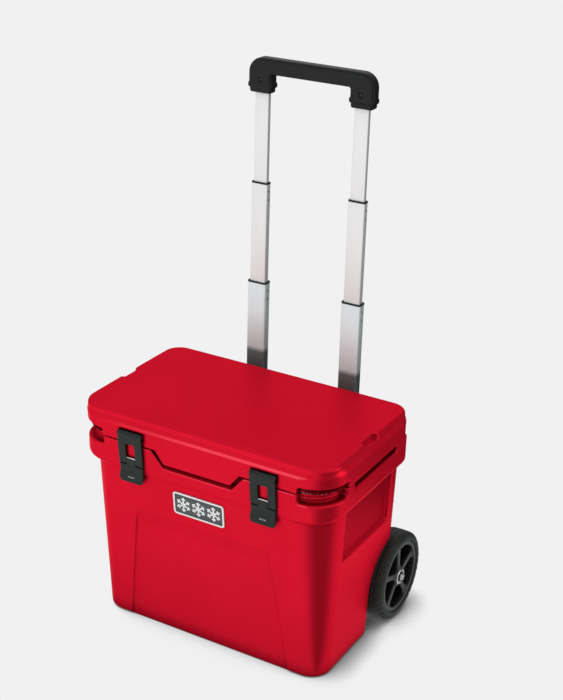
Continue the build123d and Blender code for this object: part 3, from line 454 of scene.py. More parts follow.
# the lowest stage, with painted shade towards its foot
SHADED_LOWER_ALUMINIUM = brushed_metal("lower_aluminium_painted_shade", (0.74, 0.83, 0.845), 0.42, UPRIGHT, 0.15,
                                ((0.75, 0.53), (0.20, 0.454)))
BLACK_TUBE = brushed_metal("black_anodised", (0.035, 0.035, 0.038), 0.38, UPRIGHT)
STEEL = brushed_metal("turned_steel", (0.62, 0.62, 0.63), 0.25, TURNED)
ZINC = brushed_metal("zinc_plate", (0.80, 0.80, 0.82), 0.22, TURNED)
DARK_STEEL = brushed_metal("blackened_steel", (0.05, 0.05, 0.055), 0.40, TURNED)
BADGE_WHITE = pale_plastic("badge_white", (0.80, 0.80, 0.79), 0.35)
BADGE_DARK = black_plastic("badge_field", (0.030, 0.034, 0.038), 0.40, 1200, 0.08)
MARK_GREY = pale_plastic("mark_grey", (0.24, 0.25, 0.25), 0.5)
LINER_WHITE = pale_plastic("liner_white", (0.72, 0.73, 0.73), 0.38)
FOAM = pale_plastic("insulating_foam", (0.70, 0.60, 0.36), 0.85)
NYLON = pale_plastic("nylon", (0.62, 0.60, 0.54), 0.45)


def dress(piece, paint, body, nodes=()):
    """Gives a piece its material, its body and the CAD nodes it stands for."""
    piece.data.materials.clear()
    piece.data.materials.append(paint)
    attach(piece, body)
    if nodes:
        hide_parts(*nodes)
    return piece


def paint_faces(piece, paint, chosen):
    """Gives a second material to the faces that chosen(middle, normal) picks; middles are in millimetres."""
    piece.data.materials.append(paint)
    faces = piece.data.polygons
    middle, normal = np.empty(len(faces) * 3), np.empty(len(faces) * 3)
    faces.foreach_get("center", middle)
    faces.foreach_get("normal", normal)
    picked = chosen(middle.reshape(-1, 3).T / MM, normal.reshape(-1, 3).T)
    faces.foreach_set("material_index", picked.astype(np.int32))


# -------- chest body

BEAM_HALF, BEAM_Y, BEAM_HALF_HEIGHT = 205.0, (130.0, 167.0), 22.0
NOTCH_FLOOR, NOTCH_BACK, NOTCH_HALF, NOTCH_FLARE = 357.0, -144.5, 69.0, 26 / 31
NOTCH_SLOPE, NOTCH_SLOPE_START, NOTCH_SLOPE_WIDTH = 0.8, -155.0, 10.0
POCKET_INSET, POCKET_CORNER = 16.0, 46.0
RIDGE_HEIGHTS, RIDGE_RADIUS = (377.0, 383.5), 2.6
SLOT_DEPTH, SLOT_Y, SLOT_FLOOR = 15.0, (-65.0, 95.0), 375.0
HOLD_FLOOR, HOLD_Y, HOLD_Z = 238.5, (-70.0, 103.0), (229.0, 334.0)
PANEL_TOP, PANEL_TOP_HALF, PANEL_BOTTOM_HALF = 250.0, 137.0, 170.0
PANEL_STEP, PANEL_DEPTH, PANEL_RAMP = 0.5, 3.6, 26.0
ARCH_RADIUS, ARCH_INNER = WHEEL_RADIUS + 4.5, 205.0
BODY_LEAF_Z = 351.4
TUB_FLOOR, TUB_CORNER = 48.0, 34.0
TUB_BASE, TUB_MOUTH = (179.0, -81.0, 109.0), (212.0, -122.0, 118.0)
FLANGE_PLAN, FLANGE_CORNER, FLANGE_DEPTH = (222.3, -132.3, 128.3), 44.0, 3.3


def at_height(z, base, top):
    """A size of the tapered body at height z."""
    return base + (top - base) * z / BODY_TOP


def body_walls(x, y, z):
    """The tapered walls, with the rim band round their top and the axle's beam across the rear."""
    front = at_height(z, BASE_FRONT, TOP_FRONT)
    corners = [at_height(z, base, top) for base, top in zip(BASE_CORNERS, TOP_CORNERS)]
    walls = plan(x, y, at_height(z, BASE_HALF, TOP_HALF), front, at_height(z, BASE_REAR, TOP_REAR), *corners)
    band = common(plan(x, y, RIM_HALF, TOP_FRONT - RIM_PROUD, RIM_REAR, *RIM_CORNERS), RIM_START - z, 14)
    band = common(band, front - RIM_PROUD - y, 3)
    beam = bar(8, between(x, -BEAM_HALF, BEAM_HALF), between(y, *BEAM_Y),
               between(z, WHEEL_Z - BEAM_HALF_HEIGHT, WHEEL_Z + BEAM_HALF_HEIGHT))
    walls = join(join(walls, band, 5), beam, 4)
    return common(common(walls, z - BODY_TOP, 2.6), -z, 7)


def front_notch(side, y, z):
    """The recess in the front of the rim that the lid's lip hangs in; its floor slopes down to the front."""
    half = NOTCH_HALF + (z - NOTCH_FLOOR) * NOTCH_FLARE
    floor = NOTCH_FLOOR + np.clip(y - NOTCH_SLOPE_START, 0, NOTCH_SLOPE_WIDTH) * NOTCH_SLOPE
    return bar(3, side - half, floor - z, y - NOTCH_BACK)


def with_corner_pockets(body, x, y, z):
    """The body with its tie-down pockets, and two ridges along their inner wall."""
    side = np.abs(x)
    inner = plan(x, y, RIM_HALF - POCKET_INSET, TOP_FRONT - RIM_PROUD + POCKET_INSET, RIM_REAR, POCKET_CORNER)
    pocket = common(common(-inner, POCKET_FLOOR - z, 5), common(POCKET_SIDE - side, y - POCKET_END, 6), 4)
    body = carve(body, pocket, 4.5)
    corner = common(POCKET_SIDE - 7 - side, y - POCKET_END - 6)
    for height in RIDGE_HEIGHTS:
        ridge = np.hypot(inner + 0.2, z - height) - RIDGE_RADIUS
        body = join(body, common(ridge, corner), 1)
    return body


def front_panel(side, y, z):
    """The shallow panel in the front wall. It widens to the floor, and its depth grows just below its top."""
    down = (PANEL_TOP - z) / PANEL_TOP
    half = PANEL_TOP_HALF + (PANEL_BOTTOM_HALF - PANEL_TOP_HALF) * down
    depth = PANEL_STEP + (PANEL_DEPTH - PANEL_STEP) * np.clip((PANEL_TOP - z) / PANEL_RAMP, 0, 1)
    return bar(0.6, side - half, y - at_height(z, BASE_FRONT, TOP_FRONT) - depth, z - PANEL_TOP)


def wheel_arch(side, y, z):
    """The space round a wheel, open downwards."""
    arch = np.hypot(y - WHEEL_Y, z - WHEEL_Z) - ARCH_RADIUS
    below = common(between(y, WHEEL_Y - ARCH_RADIUS, WHEEL_Y + ARCH_RADIUS), z - WHEEL_Z)
    return common(join(arch, below), ARCH_INNER - side, 5)


def tub_space(x, y, z):
    """The tapered space for the inner tub, with the shallow step for its flange."""
    share = (z - TUB_FLOOR) / (BODY_TOP - TUB_FLOOR)
    half, front, rear = (base + (mouth - base) * share for base, mouth in zip(TUB_BASE, TUB_MOUTH))
    flange = common(plan(x, y, *FLANGE_PLAN, FLANGE_CORNER), BODY_TOP - FLANGE_DEPTH - z)
    return join(common(plan(x, y, half, front, rear, TUB_CORNER), TUB_FLOOR - z), flange)


def body_field(x, y, z):
    side = np.abs(x)
    body = carve(body_walls(x, y, z), front_notch(side, y, z), 2.5)
    body = with_corner_pockets(body, x, y, z)
    slot = bar(3, RIM_HALF - SLOT_DEPTH - side, between(y, *SLOT_Y), SLOT_FLOOR - z)
    hold = bar(4, HOLD_FLOOR - side, between(y, *HOLD_Y), between(z, *HOLD_Z))
    body = carve(carve(body, slot, 2.2), hold, 3)
    body = carve(body, front_panel(side, y, z), 0.5)
    body = carve(body, wheel_arch(side, y, z), 3.5)
    body = carve(body, np.hypot(y - HINGE_Y, z - HINGE_Z) - HINGE_CLEARANCE, 1)
    body = carve(body, bar(0.6, between(side, *LEAF_X), LEAF_Y - y, BODY_LEAF_Z - z), 1.2)
    return carve(body, tub_space(x, y, z))


def in_hold_floor(middle, normal):
    """The coarse floor of the two hand holds, darkened with painted shade."""
    x, y, z = middle
    inside = (between(y, *HOLD_Y) < 0) & (between(z, *HOLD_Z) < 0)
    return inside & (np.abs(np.abs(x) - HOLD_FLOOR) < 1.5) & (np.abs(normal[0]) > 0.9)


step_body = 1.9
chest = mould("chest_shell", body_field, (-RIM_HALF, TOP_FRONT - 2, 0),
              (RIM_HALF, BEAM_Y[1] + 1, BODY_TOP), step_body)
dress(chest, RED, "chest", ["body_shell"])
# the hold floors get the coarse grain and painted shade
paint_faces(chest, RED_COARSE_SHADED, in_hold_floor)

KEEPER_HALF, KEEPER_Z, KEEPER_PROUD, KEEPER_ROOT = 8.4, (361.5, 386.8), 1.9, -150.0


def keeper_field(x, y, z):
    """One raised keeper, round the middle."""
    front = at_height(z, BASE_FRONT, TOP_FRONT) - KEEPER_PROUD
    return bar(2.2, between(x, -KEEPER_HALF, KEEPER_HALF), between(z, *KEEPER_Z), front - y, y - KEEPER_ROOT)


for name, sign in SIDES:
    keeper = mould(f"keeper_{name}", keeper_field, (-9, TOP_FRONT - 3, 361), (9, KEEPER_ROOT, 388), 0.7,
                   Matrix.Translation((sign * LATCH_X * MM, 0, 0)))
    dress(keeper, RED, "chest", ())


# -------- lid

LID_FRONT, LID_CORNERS = -159.0, (63.0, 50.0)
SKIRT_TOP, SKIRT_EDGE, SKIRT_RISE = 428.0, 420.5, 1.25
LID_POCKET_DEPTH, RAIL_RADIUS = 9.0, 2.4
SLAB_INSET, SLAB_CORNERS, SLAB_ROOT = 6.0, (45.0, 34.0), 419.0
CROWN = 0.6                 # how far the slab falls from its middle to each edge
SCOOP_DEPTH, SCOOP_Y, SCOOP_FLOOR = 16.0, (-25.0, 22.0), 430.5
LIP_HALF, LIP_FLARE, LIP_BACK, LIP_TOP = 68.0, 18 / 23, -149.0, 395.0
SEAT_HALF, GROOVE_RADIUS, GROOVE_ROOF = 25.8, 8.8, 6.8
EAR_RADIUS, EAR_X, EAR_HALF, EAR_REACH = 2.9, 20.35, 4.15, 12.0
PAN_INSET, PAN_REAR, PAN_CORNERS, PAN_FLANGE = 10.0, 138.5, (53.0, 40.0), 3.3
RELIEF_BACK, RELIEF_HEIGHT = 4.5, 10.0
LID_LEAF_Z = 427.6


def lid_wall(x, y):
    return plan(x, y, LID_HALF, LID_FRONT, LID_REAR, *LID_CORNERS)


def lid_skirt(x, y, z):
    """The skirt, whose top slopes inward, cut back with a rail behind it over the corner pockets."""
    wall = lid_wall(x, y)
    slope = (SKIRT_RISE * wall + z - SKIRT_EDGE) / math.hypot(SKIRT_RISE, 1)
    skirt = common(common(common(wall, slope, 2.4), z - SKIRT_TOP, 2), LID_BOTTOM - z, 2.2)
    rail = np.hypot(wall + LID_POCKET_DEPTH + 0.5, z - LID_BOTTOM - 3.5) - RAIL_RADIUS
    kept = join(common(wall, LID_POCKET_TOP - z, 6), join(wall + LID_POCKET_DEPTH, rail, 0.8), 1)
    pocket = common(-kept, common(POCKET_SIDE - np.abs(x), y - POCKET_END, 8), 5)
    return carve(skirt, pocket, 1)


def lid_slab(x, y, z):
    """The slab on top, slightly crowned."""
    slab = plan(x, y, LID_HALF - SLAB_INSET, LID_FRONT + SLAB_INSET, LID_REAR - SLAB_INSET, *SLAB_CORNERS)
    crown = LID_TOP - CROWN * ((x / LID_HALF) ** 2 + (y / TOP_FRONT) ** 2)
    return common(common(slab, z - crown, 7), SLAB_ROOT - z)


def with_latch_seats(lid, side, y, z):
    """The lid with the round groove that each latch turns in, and the two ears that hold its pin."""
    from_axis = np.hypot(y - LATCH_Y, z - LATCH_Z)
    seat = between(side, LATCH_X - SEAT_HALF, LATCH_X + SEAT_HALF)
    lid = carve(lid, common(common(from_axis - GROOVE_RADIUS, seat), z - LATCH_Z - GROOVE_ROOF, 0.8), 0.8)
    ear = np.abs(np.abs(side - LATCH_X) - EAR_X) - EAR_HALF
    web = common(between(y, LATCH_Y, LATCH_Y + EAR_REACH), between(z, LATCH_Z - EAR_RADIUS, LATCH_Z))
    return join(lid, common(join(from_axis - EAR_RADIUS, web), ear, 0.5))


def hollowed(lid, x, y, z):
    """The lid with the pan in its underside and what the hinges need cut away at its rear."""
    pan = plan(x, y, LID_HALF - PAN_INSET, LID_FRONT + PAN_INSET, PAN_REAR, *PAN_CORNERS)
    lid = carve(lid, common(pan, z - LID_BOTTOM - PAN_FLANGE), 0.8)
    lid = carve(lid, common(HINGE_Y + RELIEF_BACK - y, z - HINGE_Z - RELIEF_HEIGHT), 1)
    leaf = common(between(np.abs(x), *LEAF_X), z - LID_LEAF_Z)
    lid = carve(lid, bar(0.6, leaf, LEAF_Y - y), 0.8)
    return carve(lid, common(leaf, np.hypot(y - HINGE_Y, z - HINGE_Z) - HINGE_CLEARANCE), 0.8)


def lid_field(x, y, z):
    side = np.abs(x)
    lid = join(lid_skirt(x, y, z), lid_slab(x, y, z), 5)
    scoop = bar(3, LID_HALF - SCOOP_DEPTH - side, between(y, *SCOOP_Y), SCOOP_FLOOR - z)
    lid = carve(lid, scoop, 2)
    lip = bar(2, side - LIP_HALF - (z - LIP_BOTTOM) * LIP_FLARE, LIP_BOTTOM - z,
              between(y, LID_FRONT, LIP_BACK), z - LIP_TOP)
    lid = with_latch_seats(join(lid, lip), side, y, z)
    return hollowed(lid, x, y, z)


def in_lid_pocket(middle, normal):
    """The deep wall of the lid over the corner pockets, painted dark as shade."""
    x, y, z = middle
    corner = (np.abs(x) > POCKET_SIDE - 7) & (y < POCKET_END + 5)
    height = (z > LID_BOTTOM + 0.5) & (z < LID_POCKET_TOP + 0.5)
    return corner & height & (between(-lid_wall(x, y), 4, LID_POCKET_DEPTH + 0.6) < 0)


step_lid = 1.4
lid = mould("lid_shell_moulded", lid_field, (-LID_HALF, LATCH_Y - 4, LIP_BOTTOM),
            (LID_HALF, LID_REAR, LID_TOP), step_lid)
dress(lid, RED, "lid", ["lid_shell"])
# the undercut wall gets painted shade
paint_faces(lid, RED_SHADE, in_lid_pocket)


# -------- latches, drawn round their hinge axis

LATCH_HALF, LATCH_FACE = 25.2, -5.6
FRAME_BACK, FRAME_TOP, FRAME_BOTTOM = -1.0, 1.5, -59.0
CURL_RADIUS, EAR_SPACE = 5.8, 3.3
THIN_BACK, THIN_FROM = -3.8, -4.7
WINDOW_HALF, WINDOW_TOP, WINDOW_BOTTOM = 9.3, -18.0, -70.0
KNUCKLE_HALF, KNUCKLE_RADIUS, KNUCKLE_FACE, KNUCKLE_TOP = 15.5, 4.8, -6.1, 2.4
LEVER_TOP, LEVER_BOTTOM, LEVER_FLARE_START, LEVER_FLARE = -61.0, -94.0, -67.0, 5.4
LEVER_THICK, LEVER_THIN, LEVER_WAIST, WAIST_LENGTH, LEVER_CHAMFER = 4.4, 1.4, 1.1, 20.0, 4.0
TONGUE_HALF, TONGUE_BACK, TONGUE_Z = 9.0, -1.2, (-67.0, -46.4)
LEVER_PIN_Y, LEVER_PIN_Z, LEVER_PIN_RADIUS = -3.6, -47.0, 1.7


def latch_frame_field(x, y, z):
    """A plate that curls over the ears' pin, thinner behind the ears, with a window and a knuckle."""
    radius = np.hypot(y, z)
    width = between(x, -LATCH_HALF, LATCH_HALF)
    plate = bar(1.1, width, between(y, LATCH_FACE, FRAME_BACK), between(z, FRAME_BOTTOM, FRAME_TOP))
    plate = carve(plate, radius - EAR_SPACE, 0.3)
    plate = carve(plate, common(THIN_BACK - y, THIN_FROM - z, 0.4), 0.3)
    curl = common(common(radius - CURL_RADIUS, EAR_SPACE - radius, 0.3), bar(0.5, width, y, -1 - z), 0.3)
    window = bar(0.6, between(x, -WINDOW_HALF, WINDOW_HALF), z - WINDOW_TOP, WINDOW_BOTTOM - z)
    plate = carve(join(plate, curl, 0.4), window, 0.9)
    face = common(between(y, KNUCKLE_FACE, 0), between(z, -KNUCKLE_RADIUS, KNUCKLE_TOP))
    knuckle = join(radius - KNUCKLE_RADIUS, face)
    return join(plate, common(knuckle, between(x, -KNUCKLE_HALF, KNUCKLE_HALF), 0.5), 0.4)


def latch_lever_field(x, y, z):
    """The pull: it flares forward to its tip, has a slight waist, and holds its pin in a tongue."""
    flare = np.clip((LEVER_FLARE_START - z) / (LEVER_FLARE_START - LEVER_BOTTOM), 0, 1)
    front = LATCH_FACE - LEVER_FLARE * flare ** 1.6
    half = LATCH_HALF - LEVER_WAIST * np.sin(np.pi * np.clip((LEVER_TOP - z) / WAIST_LENGTH, 0, 1))
    lever = bar(1.3, between(y - front, 0, LEVER_THICK - LEVER_THIN * flare),
                between(z, LEVER_BOTTOM, LEVER_TOP), np.abs(x) - half)
    past_corner = np.abs(x) - LATCH_HALF + LEVER_BOTTOM - z + LEVER_CHAMFER
    lever = common(lever, past_corner * math.sqrt(0.5), 2)
    tongue = bar(0.8, between(x, -TONGUE_HALF, TONGUE_HALF), between(y, LATCH_FACE, TONGUE_BACK),
                 between(z, *TONGUE_Z))
    pin = common(np.hypot(y - LEVER_PIN_Y, z - LEVER_PIN_Z) - LEVER_PIN_RADIUS, between(x, -10, 10))
    return carve(join(lever, tongue, 0.8), pin)


def hang(sign):
    """Where a latch part goes: on its hinge axis, parallel to the front wall."""
    place = (sign * LATCH_X * MM, LATCH_Y * MM, LATCH_Z * MM)
    return Matrix.Translation(place) @ Matrix.Rotation(LEAN, 4, "X")


for name, sign in SIDES:
    frame_piece = mould(f"latch_frame_{name}_moulded", latch_frame_field,
                        (-26, -7, FRAME_BOTTOM - 1), (26, 7, 7), 0.6, hang(sign))
    dress(frame_piece, LATCH_BLACK, f"latch_{name}", [f"latch_frame_{name}"])
    lever_piece = mould(f"latch_lever_{name}_moulded", latch_lever_field,
                        (-26, -12, LEVER_BOTTOM - 2), (26, 0, -45), 0.6, hang(sign))
    dress(lever_piece, LATCH_BLACK, f"lever_{name}", [f"latch_lever_{name}"])


# -------- wheels

TREAD_BLOCKS, TREAD_DEPTH, TREAD_INNER, TREAD_START = 34, 1.3, 76.0, 13.0
LINE_PLACE, LINE_DEPTH, LINE_INNER = 6.0, 0.9, 82.0
TYRE_BORE, TYRE_CROWN = 69.9, 1.5
RIM_RING, WEB_RADIUS, BOSS_RADIUS = (61.5, 70.1), 66.0, 17.0
BOSS_START = mm("wheel_hub_right")[0][0]
SPOKES, SPOKE_HALF, SPOKE_WIDENING, SPOKE_DISH = 5, 5.2, 2.6, 0.03


def polar(y, z):
    """Distance and direction from the middle of a wheel."""
    return np.hypot(y - WHEEL_Y, z - WHEEL_Z), np.arctan2(z - WHEEL_Z, y - WHEEL_Y)


def tyre_field(x, y, z):
    """A crowned tyre with blocks along its shoulders and two fine lines round its tread."""
    radius, angle = polar(y, z)
    middle = (WHEEL_INNER + WHEEL_OUTER) / 2
    across = np.abs(x - middle)
    crown = WHEEL_RADIUS - TYRE_CROWN * (across / (WHEEL_OUTER - middle)) ** 2
    tyre = bar(9, radius - crown, between(x, WHEEL_INNER, WHEEL_OUTER))
    tyre = common(tyre, TYRE_BORE - radius, 1.5)
    wave = np.clip(np.cos(TREAD_BLOCKS * angle) * 2.2 - 0.9, 0, 1)
    shoulder = np.clip((across - TREAD_START) / 5, 0, 1) * np.clip((radius - TREAD_INNER) / 4, 0, 1)
    tyre = tyre + TREAD_DEPTH * wave * shoulder
    line = np.clip(1.6 - np.abs(across - LINE_PLACE), 0, 1)
    return tyre + LINE_DEPTH * line * (radius > LINE_INNER)


def hub_field(x, y, z):
    """A rim, a boss and a thin web, joined by spokes that widen to the rim."""
    radius, angle = polar(y, z)
    rim = bar(2, between(radius, *RIM_RING), between(x, WHEEL_INNER + 2, WHEEL_OUTER - 2.2))
    boss = bar(2, radius - BOSS_RADIUS, between(x, BOSS_START, WHEEL_OUTER - 3.5))
    web = common(radius - WEB_RADIUS, between(x, WHEEL_INNER + 7, WHEEL_INNER + 11))
    hub = join(join(rim, boss), web, 2)
    turn = 2 * math.pi / SPOKES
    from_spoke = (angle - math.pi / 2 + turn / 2) % turn - turn / 2
    half = SPOKE_HALF + SPOKE_WIDENING * np.clip((radius - 25) / 40, 0, 1) ** 2
    depth = between(x, WHEEL_INNER + 13, WHEEL_OUTER - 5 - SPOKE_DISH * radius)
    spoke = bar(2.5, np.abs(radius * np.sin(from_spoke)) - half, depth, radius - WEB_RADIUS)
    return join(hub, spoke, 7)


tyre_reach, hub_reach = WHEEL_RADIUS + 1, RIM_RING[1] + 0.9
right_tyre = mould("tyre_right_moulded", tyre_field, (WHEEL_INNER, WHEEL_Y - tyre_reach, 0),
                   (WHEEL_OUTER, WHEEL_Y + tyre_reach, 2 * tyre_reach), 1.2)
right_hub = mould("wheel_hub_right_moulded", hub_field,
                  (BOSS_START, WHEEL_Y - hub_reach, WHEEL_Z - hub_reach),
                  (WHEEL_OUTER, WHEEL_Y + hub_reach, WHEEL_Z + hub_reach), 1.1)


def mirrored(piece, name):
    """The same piece on the other side of the middle."""
    mesh = piece.data.copy()
    mesh.transform(Matrix.Diagonal((-1, 1, 1, 1)))
    mesh.flip_normals()
    twin = bpy.data.objects.new(name, mesh)
    bpy.context.scene.collection.objects.link(twin)
    return twin


dress(mirrored(right_tyre, "tyre_left_moulded"), TYRE_BLACK, "wheel_left", ["tyre_left"])
dress(mirrored(right_hub, "wheel_hub_left_moulded"), HUB_BLACK, "wheel_left", ["wheel_hub_left"])
dress(right_tyre, TYRE_BLACK, "wheel_right", ["tyre_right"])
dress(right_hub, HUB_BLACK, "wheel_right", ["wheel_hub_right"])


# -------- handle

ARC_STEPS = 8               # straight pieces in each rounded corner of a tube


def ring_loop(half_x, half_y, corner, z, centre):
    """A rounded rectangle of points at height z, round a centre, in millimetres."""
    points = []
    for quarter, (sx, sy) in enumerate(((1, 1), (-1, 1), (-1, -1), (1, -1))):
        for i in range(ARC_STEPS + 1):
            angle = (quarter + i / ARC_STEPS) * math.pi / 2
            points.append(Vector((centre[0] + sx * (half_x - corner) + corner * math.cos(angle),
                                  centre[1] + sy * (half_y - corner) + corner * math.sin(angle), z)) * MM)
    return points


def bridge(mesh, loops):
    """Faces between each loop of points and the next, and from the last to the first."""
    rings = [[mesh.verts.new(p) for p in loop] for loop in loops]
    for a, b in zip(rings, rings[1:] + rings[:1]):
        for i in range(len(a)):
            mesh.faces.new((a[i - 1], a[i], b[i], b[i - 1]))


def finish_bmesh(mesh, name):
    """A smooth-shaded object from a bmesh, with its faces turned outward."""
    bmesh.ops.recalc_face_normals(mesh, faces=mesh.faces)
    data = bpy.data.meshes.new(name)
    mesh.to_mesh(data)
    mesh.free()
    for face in data.polygons:
        face.use_smooth = True
    piece = bpy.data.objects.new(name, data)
    bpy.context.scene.collection.objects.link(piece)
    return piece


TUBE_CORNER = 0.44          # corner radius of a tube, as a share of half its depth
TUBE_EDGE = 0.4             # how far the ends' outer edges are broken


def tube_pair(name, node, wall):
    """Both tubes of one stage: rounded rectangles with a wall and softened ends."""
    low, high = mm(node)
    half_x = high[0] - TUBE_X
    half_y = (high[1] - low[1]) / 2
    corner = half_y * TUBE_CORNER
    soft = TUBE_EDGE * 0.3
    outline = [(0, low[2] + TUBE_EDGE), (0, high[2] - TUBE_EDGE), (soft, high[2] - soft),
               (TUBE_EDGE, high[2]), (wall, high[2]), (wall, low[2]), (TUBE_EDGE, low[2]),
               (soft, low[2] + soft)]
    mesh = bmesh.new()
    for x in (-TUBE_X, TUBE_X):
        loops = [ring_loop(half_x - inset, half_y - inset, corner - inset * 0.8, z, (x, TUBE_Y))
                 for inset, z in outline]
        bridge(mesh, loops)
    return finish_bmesh(mesh, name)


CAP_THICK, CAP_GAP = 3.0, 0.3


def collar_pair(name, node, inner_node, body):
    """The caps at the top of a stage's two tubes, each with a hole for the next stage."""
    low, high = mm(node)
    inner_low, inner_high = mm(inner_node)
    top = high[2]
    half_x, half_y = high[0] - TUBE_X, (high[1] - low[1]) / 2
    hole_x = inner_high[0] - TUBE_X + CAP_GAP
    inner_depth = inner_high[1] - inner_low[1]
    hole_y = inner_depth / 2 + CAP_GAP

    def cap_field(x, y, z):
        cap = common(plan(x, y, half_x, -half_y, half_y, half_y / 2), between(z, top - CAP_THICK, top), 0.9)
        return carve(cap, plan(x, y, hole_x, -hole_y, hole_y, inner_depth * 0.2), 0.4)

    for side, sign in SIDES:
        piece = mould(f"{name}_{side}", cap_field, (-half_x, -half_y, top - 5), (half_x, half_y, top), 0.5,
                      Matrix.Translation((sign * TUBE_X * MM, TUBE_Y * MM, 0)))
        dress(piece, GRIP_BLACK, body, [node])


dress(tube_pair("outer_tubes", "handle_outer_tubes", 1.8), BLACK_TUBE, "chest", ["handle_outer_tubes"])
for stage, wall in ((1, 1.5), (2, 1.3), (3, 1.2)):
    dress(tube_pair(f"stage_{stage}_tubes_drawn", f"stage_{stage}_tubes", wall),
          SHADED_LOWER_ALUMINIUM if stage == 1 else ALUMINIUM,
          f"handle_stage_{stage}", [f"stage_{stage}_tubes"])
collar_pair("stage_1_cap", "stage_1_collars", "stage_2_tubes", "handle_stage_1")
collar_pair("stage_2_cap", "stage_2_collars", "stage_3_tubes", "handle_stage_2")

GRIP_LOW, GRIP_HIGH = mm("handle_grip")
GRIP_HALF, GRIP_CORNER, GRIP_HALF_DEPTH = 125.0, 27.0, 12.5
OPENING_HALF, BAR_HEIGHT = 78.5, 28.5
LEG_X = 101.5
CUFF_HALF, CUFF_HALF_DEPTH, CUFF_HEIGHT = 21.5, 11.0, 12.0
BEAD_HALF, BEAD_START, BEAD_END = 24.5, 9.0, 19.0
DIMPLE_RADIUS, DIMPLE_HEIGHT = 4.4, 24.0
SOCKET_HALF, SOCKET_HALF_DEPTH = 14.2, 4.9


def grip_field(x, y, z):
    """A bar with round outer corners on two legs, each with a bead and a narrower cuff round its tube."""
    side = np.abs(x)
    depth = np.abs(y - TUBE_Y)
    foot = z - GRIP_LOW[2]
    down = z - GRIP_HIGH[2]
    qx, qz = side - (GRIP_HALF - GRIP_CORNER), down + GRIP_CORNER
    outer = np.hypot(np.maximum(qx, 0), np.maximum(qz, 0)) + np.minimum(np.maximum(qx, qz), 0) - GRIP_CORNER
    arch = carve(outer, common(side - OPENING_HALF, down + BAR_HEIGHT, 4), 1)
    grip = bar(5.5, arch, depth - GRIP_HALF_DEPTH, 7 - foot)
    leg = np.abs(side - LEG_X)
    cuff = bar(4, leg - CUFF_HALF, depth - CUFF_HALF_DEPTH, between(foot, 0, CUFF_HEIGHT))
    bead = bar(3.5, leg - BEAD_HALF, depth - GRIP_HALF_DEPTH, between(foot, BEAD_START, BEAD_END))
    grip = join(join(grip, cuff, 1), bead, 1)
    dimple = np.hypot(side - TUBE_X, foot - DIMPLE_HEIGHT) - DIMPLE_RADIUS
    grip = carve(grip, common(dimple, y - (TUBE_Y - CUFF_HALF_DEPTH)), 0.8)
    socket = plan(side - TUBE_X, y, SOCKET_HALF, TUBE_Y - SOCKET_HALF_DEPTH, TUBE_Y + SOCKET_HALF_DEPTH, 2)
    return carve(grip, common(socket, foot - DIMPLE_HEIGHT), 0.5)


grip = mould("grip_moulded", grip_field, (-GRIP_HALF - 3, GRIP_LOW[1], GRIP_LOW[2]),
             (GRIP_HALF + 3, GRIP_HIGH[1], GRIP_HIGH[2]), 1.0)
dress(grip, GRIP_BLACK, "handle_stage_3", ["handle_grip"])


# -------- raised marks: plain figures, no lettering

def raised_bars(name, bars, height, place, paint, body):
    """Flat bars with sloping flanks. Each bar is its middle, its two half sizes and its turn."""
    mesh = bmesh.new()
    for centre, half, turn in bars:
        rings = []
        for level, shrink in ((-height, 0), (height * 0.6, 0), (height, height * 0.5)):
            ring = []
            for sx, sy in ((1, 1), (-1, 1), (-1, -1), (1, -1)):
                spot = Vector((sx * (half[0] - shrink), sy * (half[1] - shrink), 0))
                spot = Matrix.Rotation(turn, 3, "Z") @ spot
                ring.append(mesh.verts.new((spot + Vector((*centre, level))) * MM))
            rings.append(ring)
        for low, high in zip(rings, rings[1:]):
            for i in range(4):
                mesh.faces.new((low[i - 1], low[i], high[i], high[i - 1]))
        mesh.faces.new(rings[0][::-1])
        mesh.faces.new(rings[-1])
    piece = finish_bmesh(mesh, name)
    for face in piece.data.polygons:
        face.use_smooth = False
    piece.data.transform(place)
    return dress(piece, paint, body, ())


def snow_crystal(x, reach):
    """A six-armed crystal round x, each arm with two barbs."""
    bars = []
    for arm in range(6):
        turn = math.pi / 6 + arm * math.pi / 3
        out = Vector((math.cos(turn), math.sin(turn)))
        bars.append(((x + out.x * reach / 2, out.y * reach / 2), (reach / 2, 1.5), turn))
        for side in (-1, 1):
            tip = turn + side * math.pi / 4
            root = out * reach * 0.55
            barb = root + Vector((math.cos(tip), math.sin(tip))) * reach * 0.17
            bars.append(((x + barb.x, barb.y), (reach * 0.2, 1.1), tip))
    return bars


BADGE_PROUD = 1.7           # how far the badge's face stands in front of the wall
CRYSTAL_SPACING, CRYSTAL_REACH = 31.0, 14.5
DASH_SPACING, DASH_HALF, DASH_SLANT = 4.6, (1.7, 1.2), 0.35
DASH_Y, DASH_Z, DASH_TURN = -8.15, -84.0, math.radians(76.4)

plate_low, plate_high = mm("badge_plate")
badge_z = (plate_low[2] + plate_high[2]) / 2
badge_y = at_height(badge_z, BASE_FRONT, TOP_FRONT) - BADGE_PROUD
on_wall = Matrix.Translation((0, badge_y * MM, badge_z * MM)) @ Matrix.Rotation(math.pi / 2 + LEAN, 4, "X")
crystals = [arm for place in (-1, 0, 1) for arm in snow_crystal(place * CRYSTAL_SPACING, CRYSTAL_REACH)]
raised_bars("badge_crystals", crystals, 0.5, on_wall, BADGE_WHITE, "chest")

dashes = [((place * DASH_SPACING, 0), DASH_HALF, DASH_SLANT) for place in (-1, 0, 1)]
on_lever = Matrix.Translation((0, DASH_Y * MM, DASH_Z * MM)) @ Matrix.Rotation(DASH_TURN, 4, "X")
for name, sign in SIDES:
    raised_bars(f"lever_mark_{name}", dashes, 0.3, hang(sign) @ on_lever, MARK_GREY,
                f"lever_{name}")


# -------- CAD nodes that keep their shape

